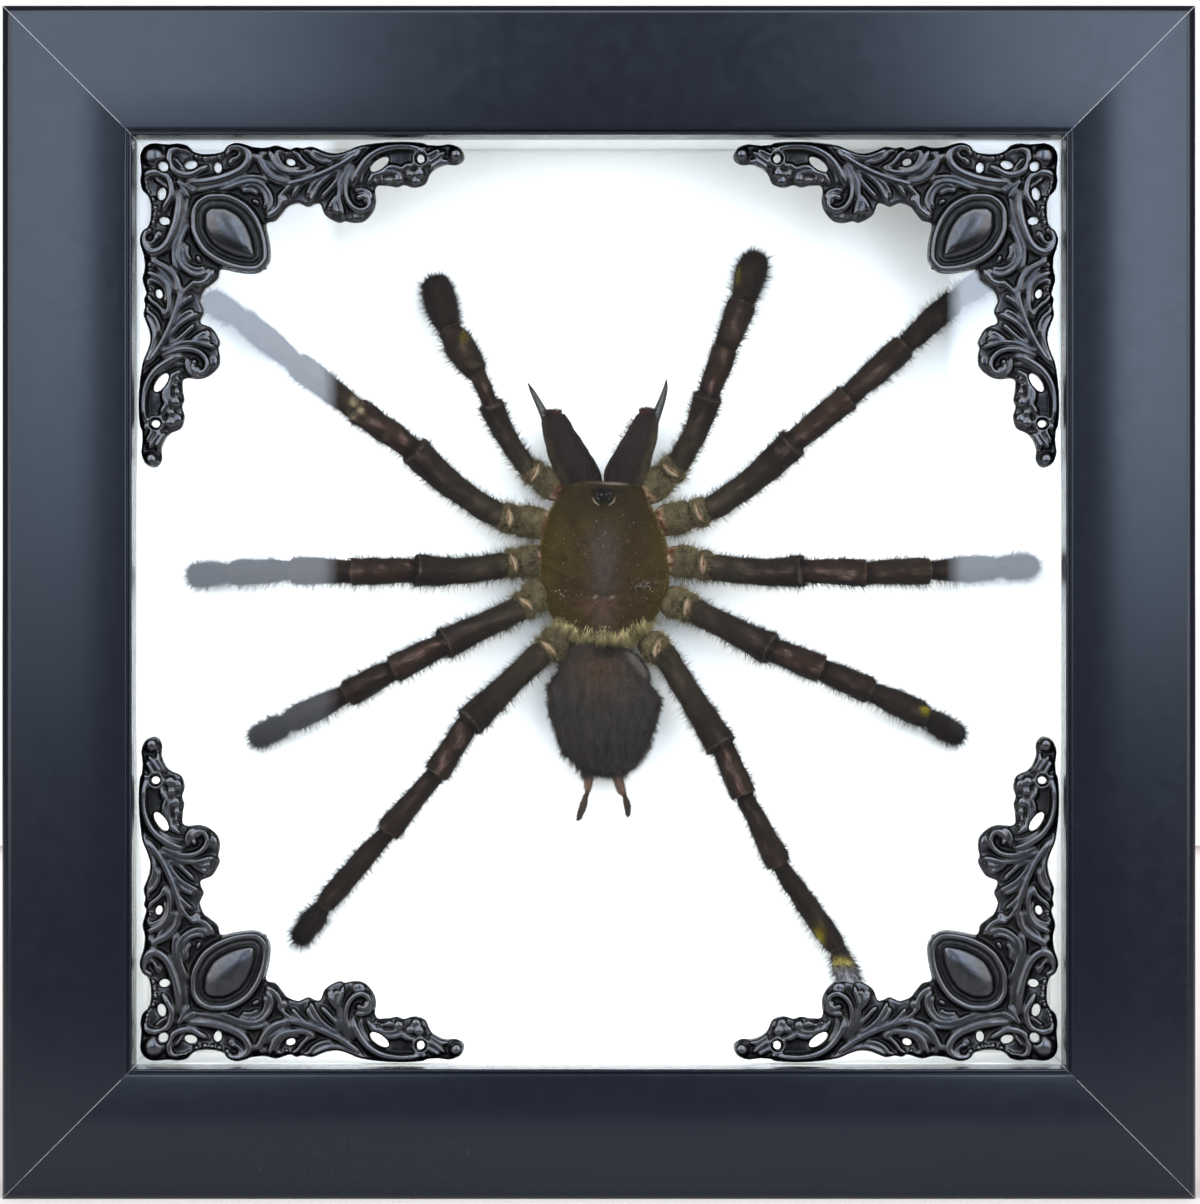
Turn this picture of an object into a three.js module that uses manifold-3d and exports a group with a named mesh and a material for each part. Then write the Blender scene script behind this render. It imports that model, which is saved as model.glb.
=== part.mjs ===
// A framed tarantula: a large dried spider on a white board, behind glass, in a deep mitred frame
// with a cast filigree ornament on the glass in each corner.
// Millimetres, +Z up. The frame stands on its bottom rail and faces -Y. The origin is at the middle of
// the footprint. Everything is modelled around the middle of the picture and lifted by half its height.

import * as THREE from "three";
import { mergeVertices } from "three/addons/utils/BufferGeometryUtils.js";
import Module from "manifold-3d";

const wasm = await Module();
wasm.setup();

// ---------------------------------------------------------------- driving dimensions

const OUTER = 221; // outside of the square frame
const DEPTH = 38; // front to back
const SIGHT = 172.4; // clear opening, from sight edge to sight edge
const LIP = 6; // thickness of the lip in front of the glass
const LIP_TAPER = 0.4; // how far the lip's inner side leans in towards the glass
const REBATE = 178.6; // width of the recess behind the lip
const GAP = 0.3; // clearance between neighbours

const FACE_ROUND = 2; // rounded outer edge of the moulding
const FACE_CROWN = 0.5; // how much the middle of the face stands proud of its edges
const BEAD = 0.65; // width of the bead at the sight edge
const GROOVE = 0.3; // width of the groove beside the bead
const GROOVE_DEPTH = 0.6;

const GLASS = 2;
const SPACER = 3; // thickness of the strips that line the box
const BOX_DEPTH = 22; // from the glass to the mount board, which is the strips' width
const BOARD = 3;
const BACKING = 2;
const INSERT = REBATE - 2 * GAP; // size of the glass and boards

const TAB = { length: 10, width: 7, thickness: 0.5, offset: 50 };
const HANGER = { length: 45, height: 9, thickness: 0.6, teeth: 9, tooth: 1.6, end: 7, drop: 18 };
const RIVET = { head: 2, crown: 1.4, headHeight: 0.5, shank: 0.9, hole: 1.25 };

const ORNAMENT_PLATE = 1.8; // thickness of the casting's flat work
const ORNAMENT_RIM = 2.5; // height of the rim around the drop
const ORNAMENT_TOP = 3.3; // height of the drop's dome
const ORNAMENT_CORNER = 86.5; // from the middle to the corner that the casting is measured from

// Layers, as distances along Y with 0 in the middle of the depth
const FRONT = -DEPTH / 2;
const GLASS_FRONT = FRONT + LIP + GAP;
const SPACER_FRONT = GLASS_FRONT + GLASS + GAP;
const BOARD_FRONT = SPACER_FRONT + BOX_DEPTH + GAP;
const BACKING_FRONT = BOARD_FRONT + BOARD + GAP;
const BACK_METAL = BACKING_FRONT + BACKING + GAP;
const ORNAMENT_BACK = GLASS_FRONT - GAP;

// ---------------------------------------------------------------- materials

const finish = (color, roughness, metalness) => () =>
  new THREE.MeshStandardMaterial({ color, roughness, metalness });

const satinBlack = finish(0x1b1e24, 0.35, 0);
const clearGlass = () =>
  new THREE.MeshStandardMaterial({ color: 0xe9f2f2, roughness: 0.03, transparent: true, opacity: 0.2 });
const antiquedMetal = finish(0x3c4046, 0.32, 1);
const whiteBoard = finish(0xf4f4f2, 0.9, 0);
const hardboard = finish(0x7a5a3c, 0.85, 0);
const zincSteel = finish(0xa9adb0, 0.4, 1);
const darkCuticle = finish(0x2f2620, 0.6, 0);
const oliveCuticle = finish(0x3d3520, 0.5, 0);
const charcoalHair = finish(0x35312e, 0.9, 0);

// ---------------------------------------------------------------- solids

// Turns a three.js geometry into a manifold solid, without the empty triangles at a curve's seam
function solid(geometry) {
  const bare = geometry.index ? geometry.clone() : mergeVertices(geometry.clone());
  bare.deleteAttribute("normal");
  bare.deleteAttribute("uv");
  const merged = mergeVertices(bare, 1e-4);
  const vertProperties = new Float32Array(merged.attributes.position.array);
  const corners = merged.index.array;
  const kept = [];
  for (let index = 0; index < corners.length; index += 3) {
    const [a, b, c] = corners.slice(index, index + 3);
    if (a !== b && b !== c && c !== a) kept.push(a, b, c);
  }
  const triVerts = new Uint32Array(kept);
  return new wasm.Manifold(new wasm.Mesh({ numProp: 3, vertProperties, triVerts }));
}

// Turns a manifold solid back into a three.js geometry
function geometryOf(manifold) {
  const mesh = manifold.getMesh();
  const geometry = new THREE.BufferGeometry();
  geometry.setAttribute("position", new THREE.BufferAttribute(new Float32Array(mesh.vertProperties), 3));
  geometry.setIndex(new THREE.BufferAttribute(new Uint32Array(mesh.triVerts), 1));
  geometry.computeVertexNormals();
  return geometry;
}

const joined = (...geometries) =>
  geometryOf(geometries.map(solid).reduce((whole, next) => whole.add(next)));

const cut = (geometry, ...tools) =>
  geometryOf(tools.map(solid).reduce((whole, tool) => whole.subtract(tool), solid(geometry)));

const outline = (points) => new THREE.Shape(points.map(([x, y]) => new THREE.Vector2(x, y)));

// A hole with the given number of sides, turned by a number of degrees
function oval(x, y, halfLength, halfWidth, turn, sides) {
  const centre = new THREE.Vector2(x, y);
  const points = [];
  for (let side = 0; side < sides; side += 1) {
    const angle = (side / sides) * 2 * Math.PI;
    const point = new THREE.Vector2(halfLength * Math.cos(angle), halfWidth * Math.sin(angle));
    points.push(point.rotateAround(new THREE.Vector2(), THREE.MathUtils.degToRad(turn)).add(centre));
  }
  return new THREE.Path(points);
}

const extruded = (shape, depth, curveSegments = 6) =>
  new THREE.ExtrudeGeometry(shape, { depth, bevelEnabled: false, curveSegments });

// Extrudes a shape drawn on the picture plane towards the front, starting from the distance `back`
const upright = (shape, depth, back) =>
  extruded(shape, depth).rotateX(Math.PI / 2).translate(0, back, 0);

// A box of the given size whose front face is at the distance `front`
const slab = (width, depth, height, front) =>
  new THREE.BoxGeometry(width, depth, height).translate(0, front + depth / 2, 0);

const picture = new THREE.Group();
picture.position.z = OUTER / 2;

function place(name, geometry, material, quarterTurns = 0) {
  const mesh = new THREE.Mesh(geometry, material());
  mesh.name = name;
  mesh.rotation.y = quarterTurns * (Math.PI / 2);
  picture.add(mesh);
  return mesh;
}

// ---------------------------------------------------------------- frame

// Section of the moulding. x runs from front to back, y from the outer edge to the sight edge.
function mouldingSection() {
  const faceWidth = (OUTER - SIGHT) / 2;
  const rebateEdge = (OUTER - REBATE) / 2;
  const grooveEdge = faceWidth - BEAD;
  const faceEnd = grooveEdge - GROOVE;
  const section = new THREE.Shape();
  section.moveTo(DEPTH, 0);
  section.lineTo(DEPTH, rebateEdge);
  section.lineTo(LIP, rebateEdge);
  section.lineTo(LIP, faceWidth + LIP_TAPER);
  section.lineTo(FACE_CROWN + BEAD, faceWidth);
  section.quadraticCurveTo(FACE_CROWN, faceWidth, FACE_CROWN, grooveEdge);
  section.lineTo(FACE_CROWN + GROOVE_DEPTH, grooveEdge);
  section.lineTo(FACE_CROWN + GROOVE_DEPTH, faceEnd);
  section.lineTo(FACE_CROWN, faceEnd);
  section.quadraticCurveTo(-FACE_CROWN, (faceEnd + FACE_ROUND) / 2, FACE_CROWN, FACE_ROUND);
  section.quadraticCurveTo(FACE_CROWN, 0, FACE_CROWN + FACE_ROUND, 0);
  return section;
}

// One rail: the moulding run along X at the bottom of the frame, mitred at both ends
function rail() {
  const alongX = new THREE.Matrix4().makeBasis(
    new THREE.Vector3(0, 1, 0),
    new THREE.Vector3(0, 0, 1),
    new THREE.Vector3(1, 0, 0),
  );
  const bar = extruded(mouldingSection(), OUTER, 5)
    .applyMatrix4(alongX)
    .translate(-OUTER / 2, FRONT, -OUTER / 2);
  const half = OUTER / 2;
  const mitreGap = GAP * Math.SQRT1_2;
  const margin = 1;
  const reach = (OUTER - SIGHT) / 2 + 2 * margin;
  const mitre = outline([
    [-half + mitreGap - margin, -half - margin],
    [half - mitreGap + margin, -half - margin],
    [half - mitreGap - reach, -half + reach],
    [-half + mitreGap + reach, -half + reach],
  ]);
  const keep = upright(mitre, DEPTH + 2 * margin, DEPTH / 2 + margin);
  return geometryOf(solid(bar).intersect(solid(keep)));
}

function addFrame() {
  const geometry = rail();
  ["bottom", "left", "top", "right"].forEach((side, turn) => {
    place(`frame_rail_${side}`, geometry, satinBlack, turn);
  });
}

// ---------------------------------------------------------------- glass, lining and back

function addLayers() {
  place("glass_pane", slab(INSERT, GLASS, INSERT, GLASS_FRONT), clearGlass);
  place("mount_board", slab(INSERT, BOARD, INSERT, BOARD_FRONT), whiteBoard);
  place("backing_panel", slab(INSERT, BACKING, INSERT, BACKING_FRONT), hardboard);
}

// The side strips stand between the top and bottom ones
function addSpacers() {
  const offset = (INSERT - SPACER) / 2;
  const between = INSERT - 2 * SPACER - 2 * GAP;
  const long = slab(INSERT, BOX_DEPTH, SPACER, SPACER_FRONT);
  const short = slab(SPACER, BOX_DEPTH, between, SPACER_FRONT);
  place("spacer_top", long.clone().translate(0, 0, offset), whiteBoard);
  place("spacer_bottom", long.clone().translate(0, 0, -offset), whiteBoard);
  place("spacer_left", short.clone().translate(-offset, 0, 0), whiteBoard);
  place("spacer_right", short.clone().translate(offset, 0, 0), whiteBoard);
}

// Flat pointed tongues driven into the rebate, two on each side
function addTabs() {
  const edge = REBATE / 2 - GAP;
  const half = TAB.width / 2;
  const tongue = outline([
    [-half, -edge],
    [half, -edge],
    [half, -edge + TAB.length - half],
    [0, -edge + TAB.length],
    [-half, -edge + TAB.length - half],
  ]);
  const geometry = upright(tongue, TAB.thickness, BACK_METAL + TAB.thickness);
  for (let index = 0; index < 8; index += 1) {
    const shift = index % 2 === 0 ? -TAB.offset : TAB.offset;
    const shifted = geometry.clone().translate(shift, 0, 0);
    place(`retaining_tab_${index + 1}`, shifted, zincSteel, Math.floor(index / 2));
  }
}

// Underside of the hanger: plain ends with a row of teeth between them
function hangerOutline() {
  const half = HANGER.length / 2;
  const low = -HANGER.height / 2;
  const points = [[half, -low], [-half, -low], [-half, low], [-half + HANGER.end, low]];
  const first = -half + HANGER.end;
  const pitch = (HANGER.length - 2 * HANGER.end) / HANGER.teeth;
  for (let tooth = 0; tooth < HANGER.teeth; tooth += 1) {
    points.push([first + tooth * pitch, low + HANGER.tooth]);
    points.push([first + (tooth + 0.5) * pitch, low + 2 * HANGER.tooth]);
  }
  points.push([half - HANGER.end, low + HANGER.tooth], [half - HANGER.end, low], [half, low]);
  return outline(points);
}

function addHanger() {
  const level = INSERT / 2 - HANGER.drop;
  const holeX = (HANGER.length - HANGER.end) / 2;
  const shape = hangerOutline();
  for (const x of [-holeX, holeX]) shape.holes.push(oval(x, 0, RIVET.hole, RIVET.hole, 0, 12));
  const plate = upright(shape, HANGER.thickness, BACK_METAL + HANGER.thickness);
  place("hanger_plate", plate.translate(0, 0, level), zincSteel);

  const under = HANGER.thickness + GAP;
  const profile = [
    [0, 0], [RIVET.shank, 0], [RIVET.shank, under], [RIVET.head, under],
    [RIVET.crown, under + RIVET.headHeight], [0, under + RIVET.headHeight],
  ].map(([radius, height]) => new THREE.Vector2(radius, height));
  [-holeX, holeX].forEach((x, index) => {
    const rivet = new THREE.LatheGeometry(profile, 8).translate(x, BACK_METAL, level);
    place(`hanger_rivet_${index + 1}`, rivet, zincSteel);
  });
}

// ---------------------------------------------------------------- corner ornaments

// Half of the casting's edge, measured from its corner of the opening: along the arm, then down.
// It runs out along the arm's outer side to the bead at its end, and back along the leaf to the drop.
// The other half is its mirror image in the diagonal.
const HALF_EDGE = [
  [2.1, 2.1], [4.5, 1.4], [8.3, 1.4], [10.4, 2.0], [11.8, 3.2], [14.6, 3.4], [16.8, 2.8], [18.4, 1.6],
  [20.6, 1.5], [23.6, 2.2], [26.5, 1.7], [29.2, 2.5], [32.6, 2.0], [35.6, 2.9], [38.3, 3.2], [41.6, 2.0],
  [46.0, 1.2], [53.6, 1.3], [56.0, 1.8], [59.4, 1.6], [61.4, 3.2], [61.2, 4.9], [58.6, 5.5], [55.4, 7.0],
  [54.4, 8.9], [52.6, 9.6], [45.8, 9.2], [44.9, 10.4], [45.1, 12.4], [43.6, 15.4], [41.0, 16.2],
  [37.6, 15.9], [35.4, 14.2], [34.6, 12.7], [32.6, 13.2], [30.4, 12.5], [28.6, 13.3], [26.6, 15.9],
  [24.8, 16.5], [25.4, 19.6], [25.2, 22.6], [24.8, 24.8],
];

// Piercings of the same half: centre along and down, half length, half width, turn in degrees
const PIERCINGS = [
  [10.8, 5.5, 1.0, 0.75, 20],
  [15.8, 6.1, 0.9, 0.7, 80],
  [29.4, 5.3, 1.1, 0.6, 15],
  [45.8, 5.3, 2.0, 0.85, -36],
  [53.4, 4.3, 0.7, 0.65, 0],
];
const CORNER_PIERCING = [5.75, 5.75, 0.85, 0.6, 45];
const PIERCING_SIDES = 6;

// Bosses of the same half that stand above the flat work: centre along and down, radius, height
const BOSSES = [
  [59.2, 3.6, 1.7, 2.6], // bead at the arm's end
  [41.6, 12.6, 2.9, 2.4], // curl of the leaf
  [20.4, 4.4, 2.2, 2.4], // curl of the scroll
];

// The drop points at the middle of the picture. Half widths at distances along the diagonal.
const DROP_RIM = [[17.3, 0.6], [18.4, 3.4], [20.5, 5.3], [23.8, 6.3], [28.4, 5.6], [32.1, 3.8], [34.3, 1.7]];
const DROP_START = 19.0;
const DROP_LENGTH = 13.7;
const DROP_HALF_WIDTH = 4.7; // at its blunt end
const DROP_NARROWING = 2.1; // how much less that is at its point
const BOSS_TAPER = 0.6; // a boss's top as a share of its foot

// Corner distances (along, down) to the picture plane, for the top left corner
const fromCorner = ([along, down]) => [-ORNAMENT_CORNER + along, ORNAMENT_CORNER - down];

// Diagonal distances (out from the corner, sideways) to corner distances
const fromDiagonal = (out, side) => [(out + side) * Math.SQRT1_2, (out - side) * Math.SQRT1_2];

const mirrored = ([along, down, ...rest]) => [down, along, ...rest];

function piercing([along, down, halfLength, halfWidth, turn]) {
  const [x, z] = fromCorner([along, down]);
  return oval(x, z, halfLength, halfWidth, -turn, PIERCING_SIDES);
}

const turned = ([along, down, long, wide, turn]) => [down, along, long, wide, 90 - turn];

// The flat work: the whole edge with its piercings
function filigree() {
  const back = HALF_EDGE.slice(1, -1).map(mirrored).reverse();
  const shape = outline([...HALF_EDGE, ...back].map(fromCorner));
  const holes = [...PIERCINGS, ...PIERCINGS.map(turned), CORNER_PIERCING];
  shape.holes.push(...holes.map(piercing));
  return upright(shape, ORNAMENT_PLATE, ORNAMENT_BACK);
}

// The raised plate that carries the drop
function dropRim() {
  const right = DROP_RIM.map(([out, side]) => fromDiagonal(out, side));
  const left = DROP_RIM.map(([out, side]) => fromDiagonal(out, -side)).reverse();
  return upright(outline([...right, ...left].map(fromCorner)), ORNAMENT_RIM, ORNAMENT_BACK);
}

// The drop: half a ball drawn out to a point along the diagonal
function dropDome() {
  const dome = new THREE.SphereGeometry(1, 12, 8);
  const position = dome.attributes.position;
  for (let index = 0; index < position.count; index += 1) {
    const along = (1 - position.getY(index)) / 2;
    const raised = (1 + position.getZ(index)) / 2;
    const halfWidth = DROP_HALF_WIDTH - DROP_NARROWING * along;
    const out = DROP_START + DROP_LENGTH * along;
    const [x, z] = fromCorner(fromDiagonal(out, halfWidth * position.getX(index)));
    position.setXYZ(index, x, ORNAMENT_BACK - ORNAMENT_TOP * raised, z);
  }
  return dome;
}

function boss([along, down, radius, height]) {
  const [x, z] = fromCorner([along, down]);
  return new THREE.CylinderGeometry(radius, radius * BOSS_TAPER, height, 8)
    .translate(x, ORNAMENT_BACK - height / 2, z);
}

function addOrnaments() {
  const bosses = [...BOSSES, ...BOSSES.map(mirrored)].map(boss);
  const casting = joined(filigree(), dropRim(), dropDome(), ...bosses);
  ["top_left", "top_right", "bottom_right", "bottom_left"].forEach((corner, turn) => {
    place(`corner_ornament_${corner}`, casting, antiquedMetal, turn);
  });
}

// ---------------------------------------------------------------- the spider

// Every station of the spider is [x, z, rise, half width, half thickness]: x and z from the middle of
// the picture, and the rise of its middle above the mount board.

// Sweeps an oval through its stations
function sweep(stations, sides) {
  const last = stations.length - 1;
  const centres = stations.map(([x, z, rise]) => new THREE.Vector3(x, BOARD_FRONT - rise, z));
  const toFront = new THREE.Vector3(0, -1, 0);
  const frames = centres.map((centre, index) => {
    const ahead = centres[Math.min(index + 1, last)];
    const behind = centres[Math.max(index - 1, 0)];
    const along = ahead.clone().sub(behind).normalize();
    const across = toFront.clone().cross(along).normalize();
    return { across, out: along.cross(across) };
  });
  const geometry = new THREE.CylinderGeometry(1, 1, 1, sides, last);
  const position = geometry.attributes.position;
  for (let index = 0; index < position.count; index += 1) {
    const ring = Math.round((0.5 - position.getY(index)) * last);
    const [, , , halfWidth, halfThickness] = stations[ring];
    const point = centres[ring].clone()
      .addScaledVector(frames[ring].across, position.getX(index) * halfWidth)
      .addScaledVector(frames[ring].out, position.getZ(index) * halfThickness);
    position.setXYZ(index, point.x, point.y, point.z);
  }
  return geometry;
}

// The same stations, wider by the clearance, to seat a neighbour in
const clearanceOf = (stations) =>
  stations.map(([x, z, rise, wide, thick]) => [x, z, rise, wide + GAP, thick + GAP]);

const CEPHALOTHORAX = [
  [0.8, 22.4, 7.6, 7.6, 3.6], [0.7, 19.3, 7.8, 8.7, 4.2], [0.6, 16.1, 7.8, 10.4, 4.5],
  [0.7, 12.3, 7.8, 11.6, 4.6], [0.9, 7.0, 7.6, 12.4, 4.5], [0.9, 1.6, 7.4, 11.9, 4.2],
  [0.8, -2.6, 7.2, 10.0, 3.8], [0.8, -5.6, 7.0, 7.1, 3.0], [0.7, -6.9, 6.9, 4.4, 2.2],
];
const EYES = { x: 0.9, z: 19.8, rise: 11.4, half: [1.5, 1.0, 1.2] };

const ABDOMEN = [
  [0.5, -7.4, 6.4, 2.0, 1.6], [0.2, -8.7, 6.5, 4.6, 3.2], [0.3, -10.4, 6.6, 6.9, 4.4],
  [0.5, -13.6, 6.8, 9.0, 5.4], [0.8, -17.5, 6.9, 10.0, 5.9], [1.2, -21.2, 6.9, 10.2, 5.9],
  [1.2, -25.0, 6.7, 9.3, 5.6], [1.5, -28.4, 6.4, 7.7, 4.8], [1.6, -31.2, 6.0, 5.3, 3.6],
  [1.8, -32.7, 5.8, 2.6, 2.0],
];
const SPINNERETS = [
  [
    [-1.7, -31.0, 5.6, 0.9, 0.9], [-2.0, -34.4, 5.2, 0.7, 0.7], [-2.0, -35.4, 5.0, 0.4, 0.4],
    [-2.6, -37.9, 4.5, 0.5, 0.5], [-3.2, -39.6, 4.1, 0.6, 0.6], [-3.9, -41.5, 3.6, 0.25, 0.25],
  ],
  [
    [3.4, -31.4, 5.6, 1.0, 1.0], [3.8, -34.4, 5.2, 0.9, 0.9], [4.6, -36.3, 4.9, 0.7, 0.7],
    [5.2, -37.9, 4.5, 0.5, 0.5], [5.4, -39.4, 4.1, 0.5, 0.5], [5.4, -40.9, 3.7, 0.25, 0.25],
  ],
];

const CHELICERAE = {
  left: {
    base: [
      [-3.0, 22.0, 7.0, 3.45, 3.6], [-4.8, 26.3, 7.0, 3.85, 4.0], [-6.3, 29.2, 6.9, 3.6, 3.9],
      [-7.5, 31.8, 6.7, 3.1, 3.4], [-8.1, 33.5, 6.5, 2.7, 2.9], [-8.6, 35.4, 6.2, 2.1, 2.0],
    ],
    fang: [
      [-9.8, 34.2, 6.3, 0.75, 0.8], [-10.6, 35.8, 6.1, 0.7, 0.75], [-11.7, 37.8, 5.6, 0.55, 0.6],
      [-12.7, 39.9, 4.9, 0.4, 0.4], [-13.5, 41.6, 4.2, 0.12, 0.12],
    ],
  },
  right: {
    base: [
      [4.35, 22.0, 7.0, 3.5, 3.6], [5.8, 26.1, 7.0, 3.85, 4.0], [6.95, 29.3, 6.9, 3.5, 3.9],
      [8.0, 31.4, 6.7, 3.0, 3.4], [8.7, 33.5, 6.5, 2.6, 2.9], [9.2, 35.7, 6.2, 2.0, 2.0],
    ],
    fang: [
      [10.5, 34.4, 6.3, 0.75, 0.8], [11.1, 36.2, 6.1, 0.7, 0.75], [11.9, 38.4, 5.6, 0.55, 0.6],
      [12.5, 40.5, 4.9, 0.4, 0.4], [12.8, 42.3, 4.2, 0.12, 0.12],
    ],
  },
};

// Joints of each limb, [x, z, rise], from the body outwards, the half width of each segment, and how
// far the middle of the femur bows backwards. A leg has a coxa, femur, patella, tibia, metatarsus and
// tarsus, a palp has no metatarsus.
const LEG_WIDTHS = [2.6, 2.75, 2.5, 2.4, 2.2, 2.1];
const HIND_LEG_WIDTHS = [2.6, 2.7, 2.4, 2.2, 1.95, 2.0];
const PALP_WIDTHS = [2.6, 2.6, 2.4, 2.7, 2.8];
const LEFT_PALP_WIDTHS = [2.3, 2.2, 1.65, 2.9, 2.75]; // slimmer, with a swollen tibia

const LIMBS = {
  leg_1_left: {
    joints: [
      [-10.2, 14.6, 6.5], [-18.7, 16.1, 7.5], [-35.0, 28.8, 12.0], [-45.6, 36.2, 11.5],
      [-57.2, 45.1, 8.0], [-68.0, 53.9, 4.5], [-74.9, 57.8, 2.4],
    ],
    widths: LEG_WIDTHS,
    bow: 0.9,
  },
  leg_2_left: {
    joints: [
      [-11.2, 8.0, 6.5], [-17.6, 7.05, 7.5], [-34.6, 5.95, 12.0], [-46.7, 5.75, 11.5],
      [-57.9, 5.9, 8.0], [-70.4, 5.6, 4.5], [-78.0, 5.0, 2.4],
    ],
    widths: LEG_WIDTHS,
    bow: 0.6,
  },
  leg_3_left: {
    joints: [
      [-10.2, 2.3, 6.5], [-14.9, -1.3, 7.5], [-29.4, -8.0, 12.0], [-38.8, -12.8, 11.5],
      [-47.5, -17.3, 8.0], [-59.0, -22.8, 4.5], [-66.0, -26.4, 2.4],
    ],
    widths: LEG_WIDTHS,
    bow: 0,
  },
  leg_4_left: {
    joints: [
      [-7.4, -7.1, 6.5], [-10.6, -9.4, 7.5], [-24.7, -22.9, 12.0], [-30.7, -32.3, 11.5],
      [-39.9, -43.3, 8.0], [-52.4, -57.8, 4.5], [-57.5, -64.8, 2.4],
    ],
    widths: HIND_LEG_WIDTHS,
    bow: 0,
  },
  leg_1_right: {
    joints: [
      [12.1, 15.2, 6.5], [20.6, 17.3, 7.5], [36.7, 30.2, 12.0], [46.9, 38.6, 11.5],
      [57.6, 48.3, 8.0], [67.6, 57.4, 4.5], [75.3, 62.8, 2.4],
    ],
    widths: LEG_WIDTHS,
    bow: 0.8,
  },
  leg_2_right: {
    joints: [
      [13.8, 8.0, 6.5], [21.2, 6.7, 7.5], [38.6, 5.85, 12.0], [50.3, 5.5, 11.5],
      [62.4, 5.9, 8.0], [75.4, 6.5, 4.5], [83.4, 6.95, 2.4],
    ],
    widths: LEG_WIDTHS,
    bow: 0.6,
  },
  leg_3_right: {
    joints: [
      [13.4, 0.4, 6.5], [17.8, -1.5, 7.5], [32.6, -9.0, 12.0], [42.0, -12.7, 11.5],
      [50.9, -16.7, 8.0], [62.3, -21.8, 4.5], [69.1, -26.1, 2.4],
    ],
    widths: LEG_WIDTHS,
    bow: 0,
  },
  leg_4_right: {
    joints: [
      [9.7, -8.1, 6.5], [12.1, -9.4, 7.5], [23.2, -27.4, 12.0], [27.3, -36.4, 11.5],
      [34.0, -49.5, 8.0], [45.3, -65.8, 4.5], [48.2, -73.8, 2.4],
    ],
    widths: HIND_LEG_WIDTHS,
    bow: 0,
  },
  palp_left: {
    joints: [
      [-8.1, 21.3, 6.0], [-13.3, 25.2, 7.0], [-20.4, 37.5, 11.0], [-22.9, 43.1, 10.5],
      [-28.5, 51.6, 7.5], [-31.4, 61.6, 3.4],
    ],
    widths: LEFT_PALP_WIDTHS,
    bow: 0.7,
  },
  palp_right: {
    joints: [
      [9.3, 20.9, 6.0], [14.8, 25.9, 7.0], [20.6, 39.0, 11.0], [23.8, 47.7, 10.5],
      [27.0, 56.2, 7.5], [30.0, 66.2, 3.4],
    ],
    widths: PALP_WIDTHS,
    bow: 0.6,
  },
};

// A segment starts narrow in its neighbour's cuff, fills out, and ends in a cuff of its own
const SEGMENT_RINGS = [[0.04, 0.82], [0.5, 1.0], [0.96, 1.06]];
const TIP_RINGS = [0.85, 0.45]; // the claw end narrows to these shares of the tarsus
const ROOT = 2.2; // how far a limb runs in under the body before it is cut to fit
const ROOT_SHARE = 0.8; // how narrow it is there
const FEMUR = 1;
const LIMB_SIDES = 8;
const BODY_SIDES = 14;
const JAW_SIDES = 10;
const THREAD_SIDES = 6; // fangs and spinnerets

// Sideways step of a limb's middle line at a share of one segment, which is nothing except on the femur
function bowAt(bow, segment, share, start, end) {
  if (segment !== FEMUR) return new THREE.Vector3();
  const run = end.clone().sub(start).normalize();
  const backwards = new THREE.Vector3(-run.y, run.x, 0).multiplyScalar(run.x < 0 ? 1 : -1);
  return backwards.multiplyScalar(bow * Math.sin(Math.PI * share));
}

function limbStations({ joints, widths, bow }) {
  const points = joints.map((joint) => new THREE.Vector3(...joint));
  const inward = points[0].clone().sub(points[1]).setLength(ROOT).add(points[0]);
  const station = (point, half) => [point.x, point.y, point.z, half, half];
  const stations = [station(inward, widths[0] * ROOT_SHARE)];
  widths.forEach((half, segment) => {
    for (const [share, swell] of SEGMENT_RINGS) {
      const start = points[segment];
      const end = points[segment + 1];
      const point = start.clone().lerp(end, share).add(bowAt(bow, segment, share, start, end));
      stations.push(station(point, half * swell));
    }
  });
  const tip = points[points.length - 1];
  const [shoulder, end] = TIP_RINGS;
  stations[stations.length - 1][3] *= shoulder;
  stations.push(station(tip, widths[widths.length - 1] * end));
  return stations;
}

function addSpider() {
  const body = sweep(CEPHALOTHORAX, BODY_SIDES);
  const eyes = new THREE.SphereGeometry(1, 8, 6)
    .scale(...EYES.half)
    .translate(EYES.x, BOARD_FRONT - EYES.rise, EYES.z);
  place("cephalothorax", joined(body, eyes), oliveCuticle);

  const spinnerets = SPINNERETS.map((stations) => sweep(stations, THREAD_SIDES));
  place("abdomen", joined(sweep(ABDOMEN, BODY_SIDES), ...spinnerets), charcoalHair);

  const bodySeat = sweep(clearanceOf(CEPHALOTHORAX), BODY_SIDES);
  const jawSeats = [];
  for (const [side, { base, fang }] of Object.entries(CHELICERAE)) {
    const jaw = joined(sweep(base, JAW_SIDES), sweep(fang, THREAD_SIDES));
    place(`chelicera_${side}`, cut(jaw, bodySeat), darkCuticle);
    jawSeats.push(sweep(clearanceOf(base), JAW_SIDES));
  }
  for (const [name, limb] of Object.entries(LIMBS)) {
    const tools = name.startsWith("palp") ? [bodySeat, ...jawSeats] : [bodySeat];
    place(name, cut(sweep(limbStations(limb), LIMB_SIDES), ...tools), darkCuticle);
  }
}

addFrame();
addLayers();
addSpacers();
addTabs();
addHanger();
addOrnaments();
addSpider();

const specimen = new THREE.Group();
specimen.add(picture);

export default specimen;
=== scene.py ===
"""Looks for the framed tarantula: camera, light, materials and the detailed pieces.

Shapes are worked out in millimetres from the middle of the picture, the middle of the frame's depth:
x to the right, y towards the back, z up. place() turns them into metres in the row's frame.
"""

import math

import bpy
import numpy as np
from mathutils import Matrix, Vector, geometry


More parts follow.
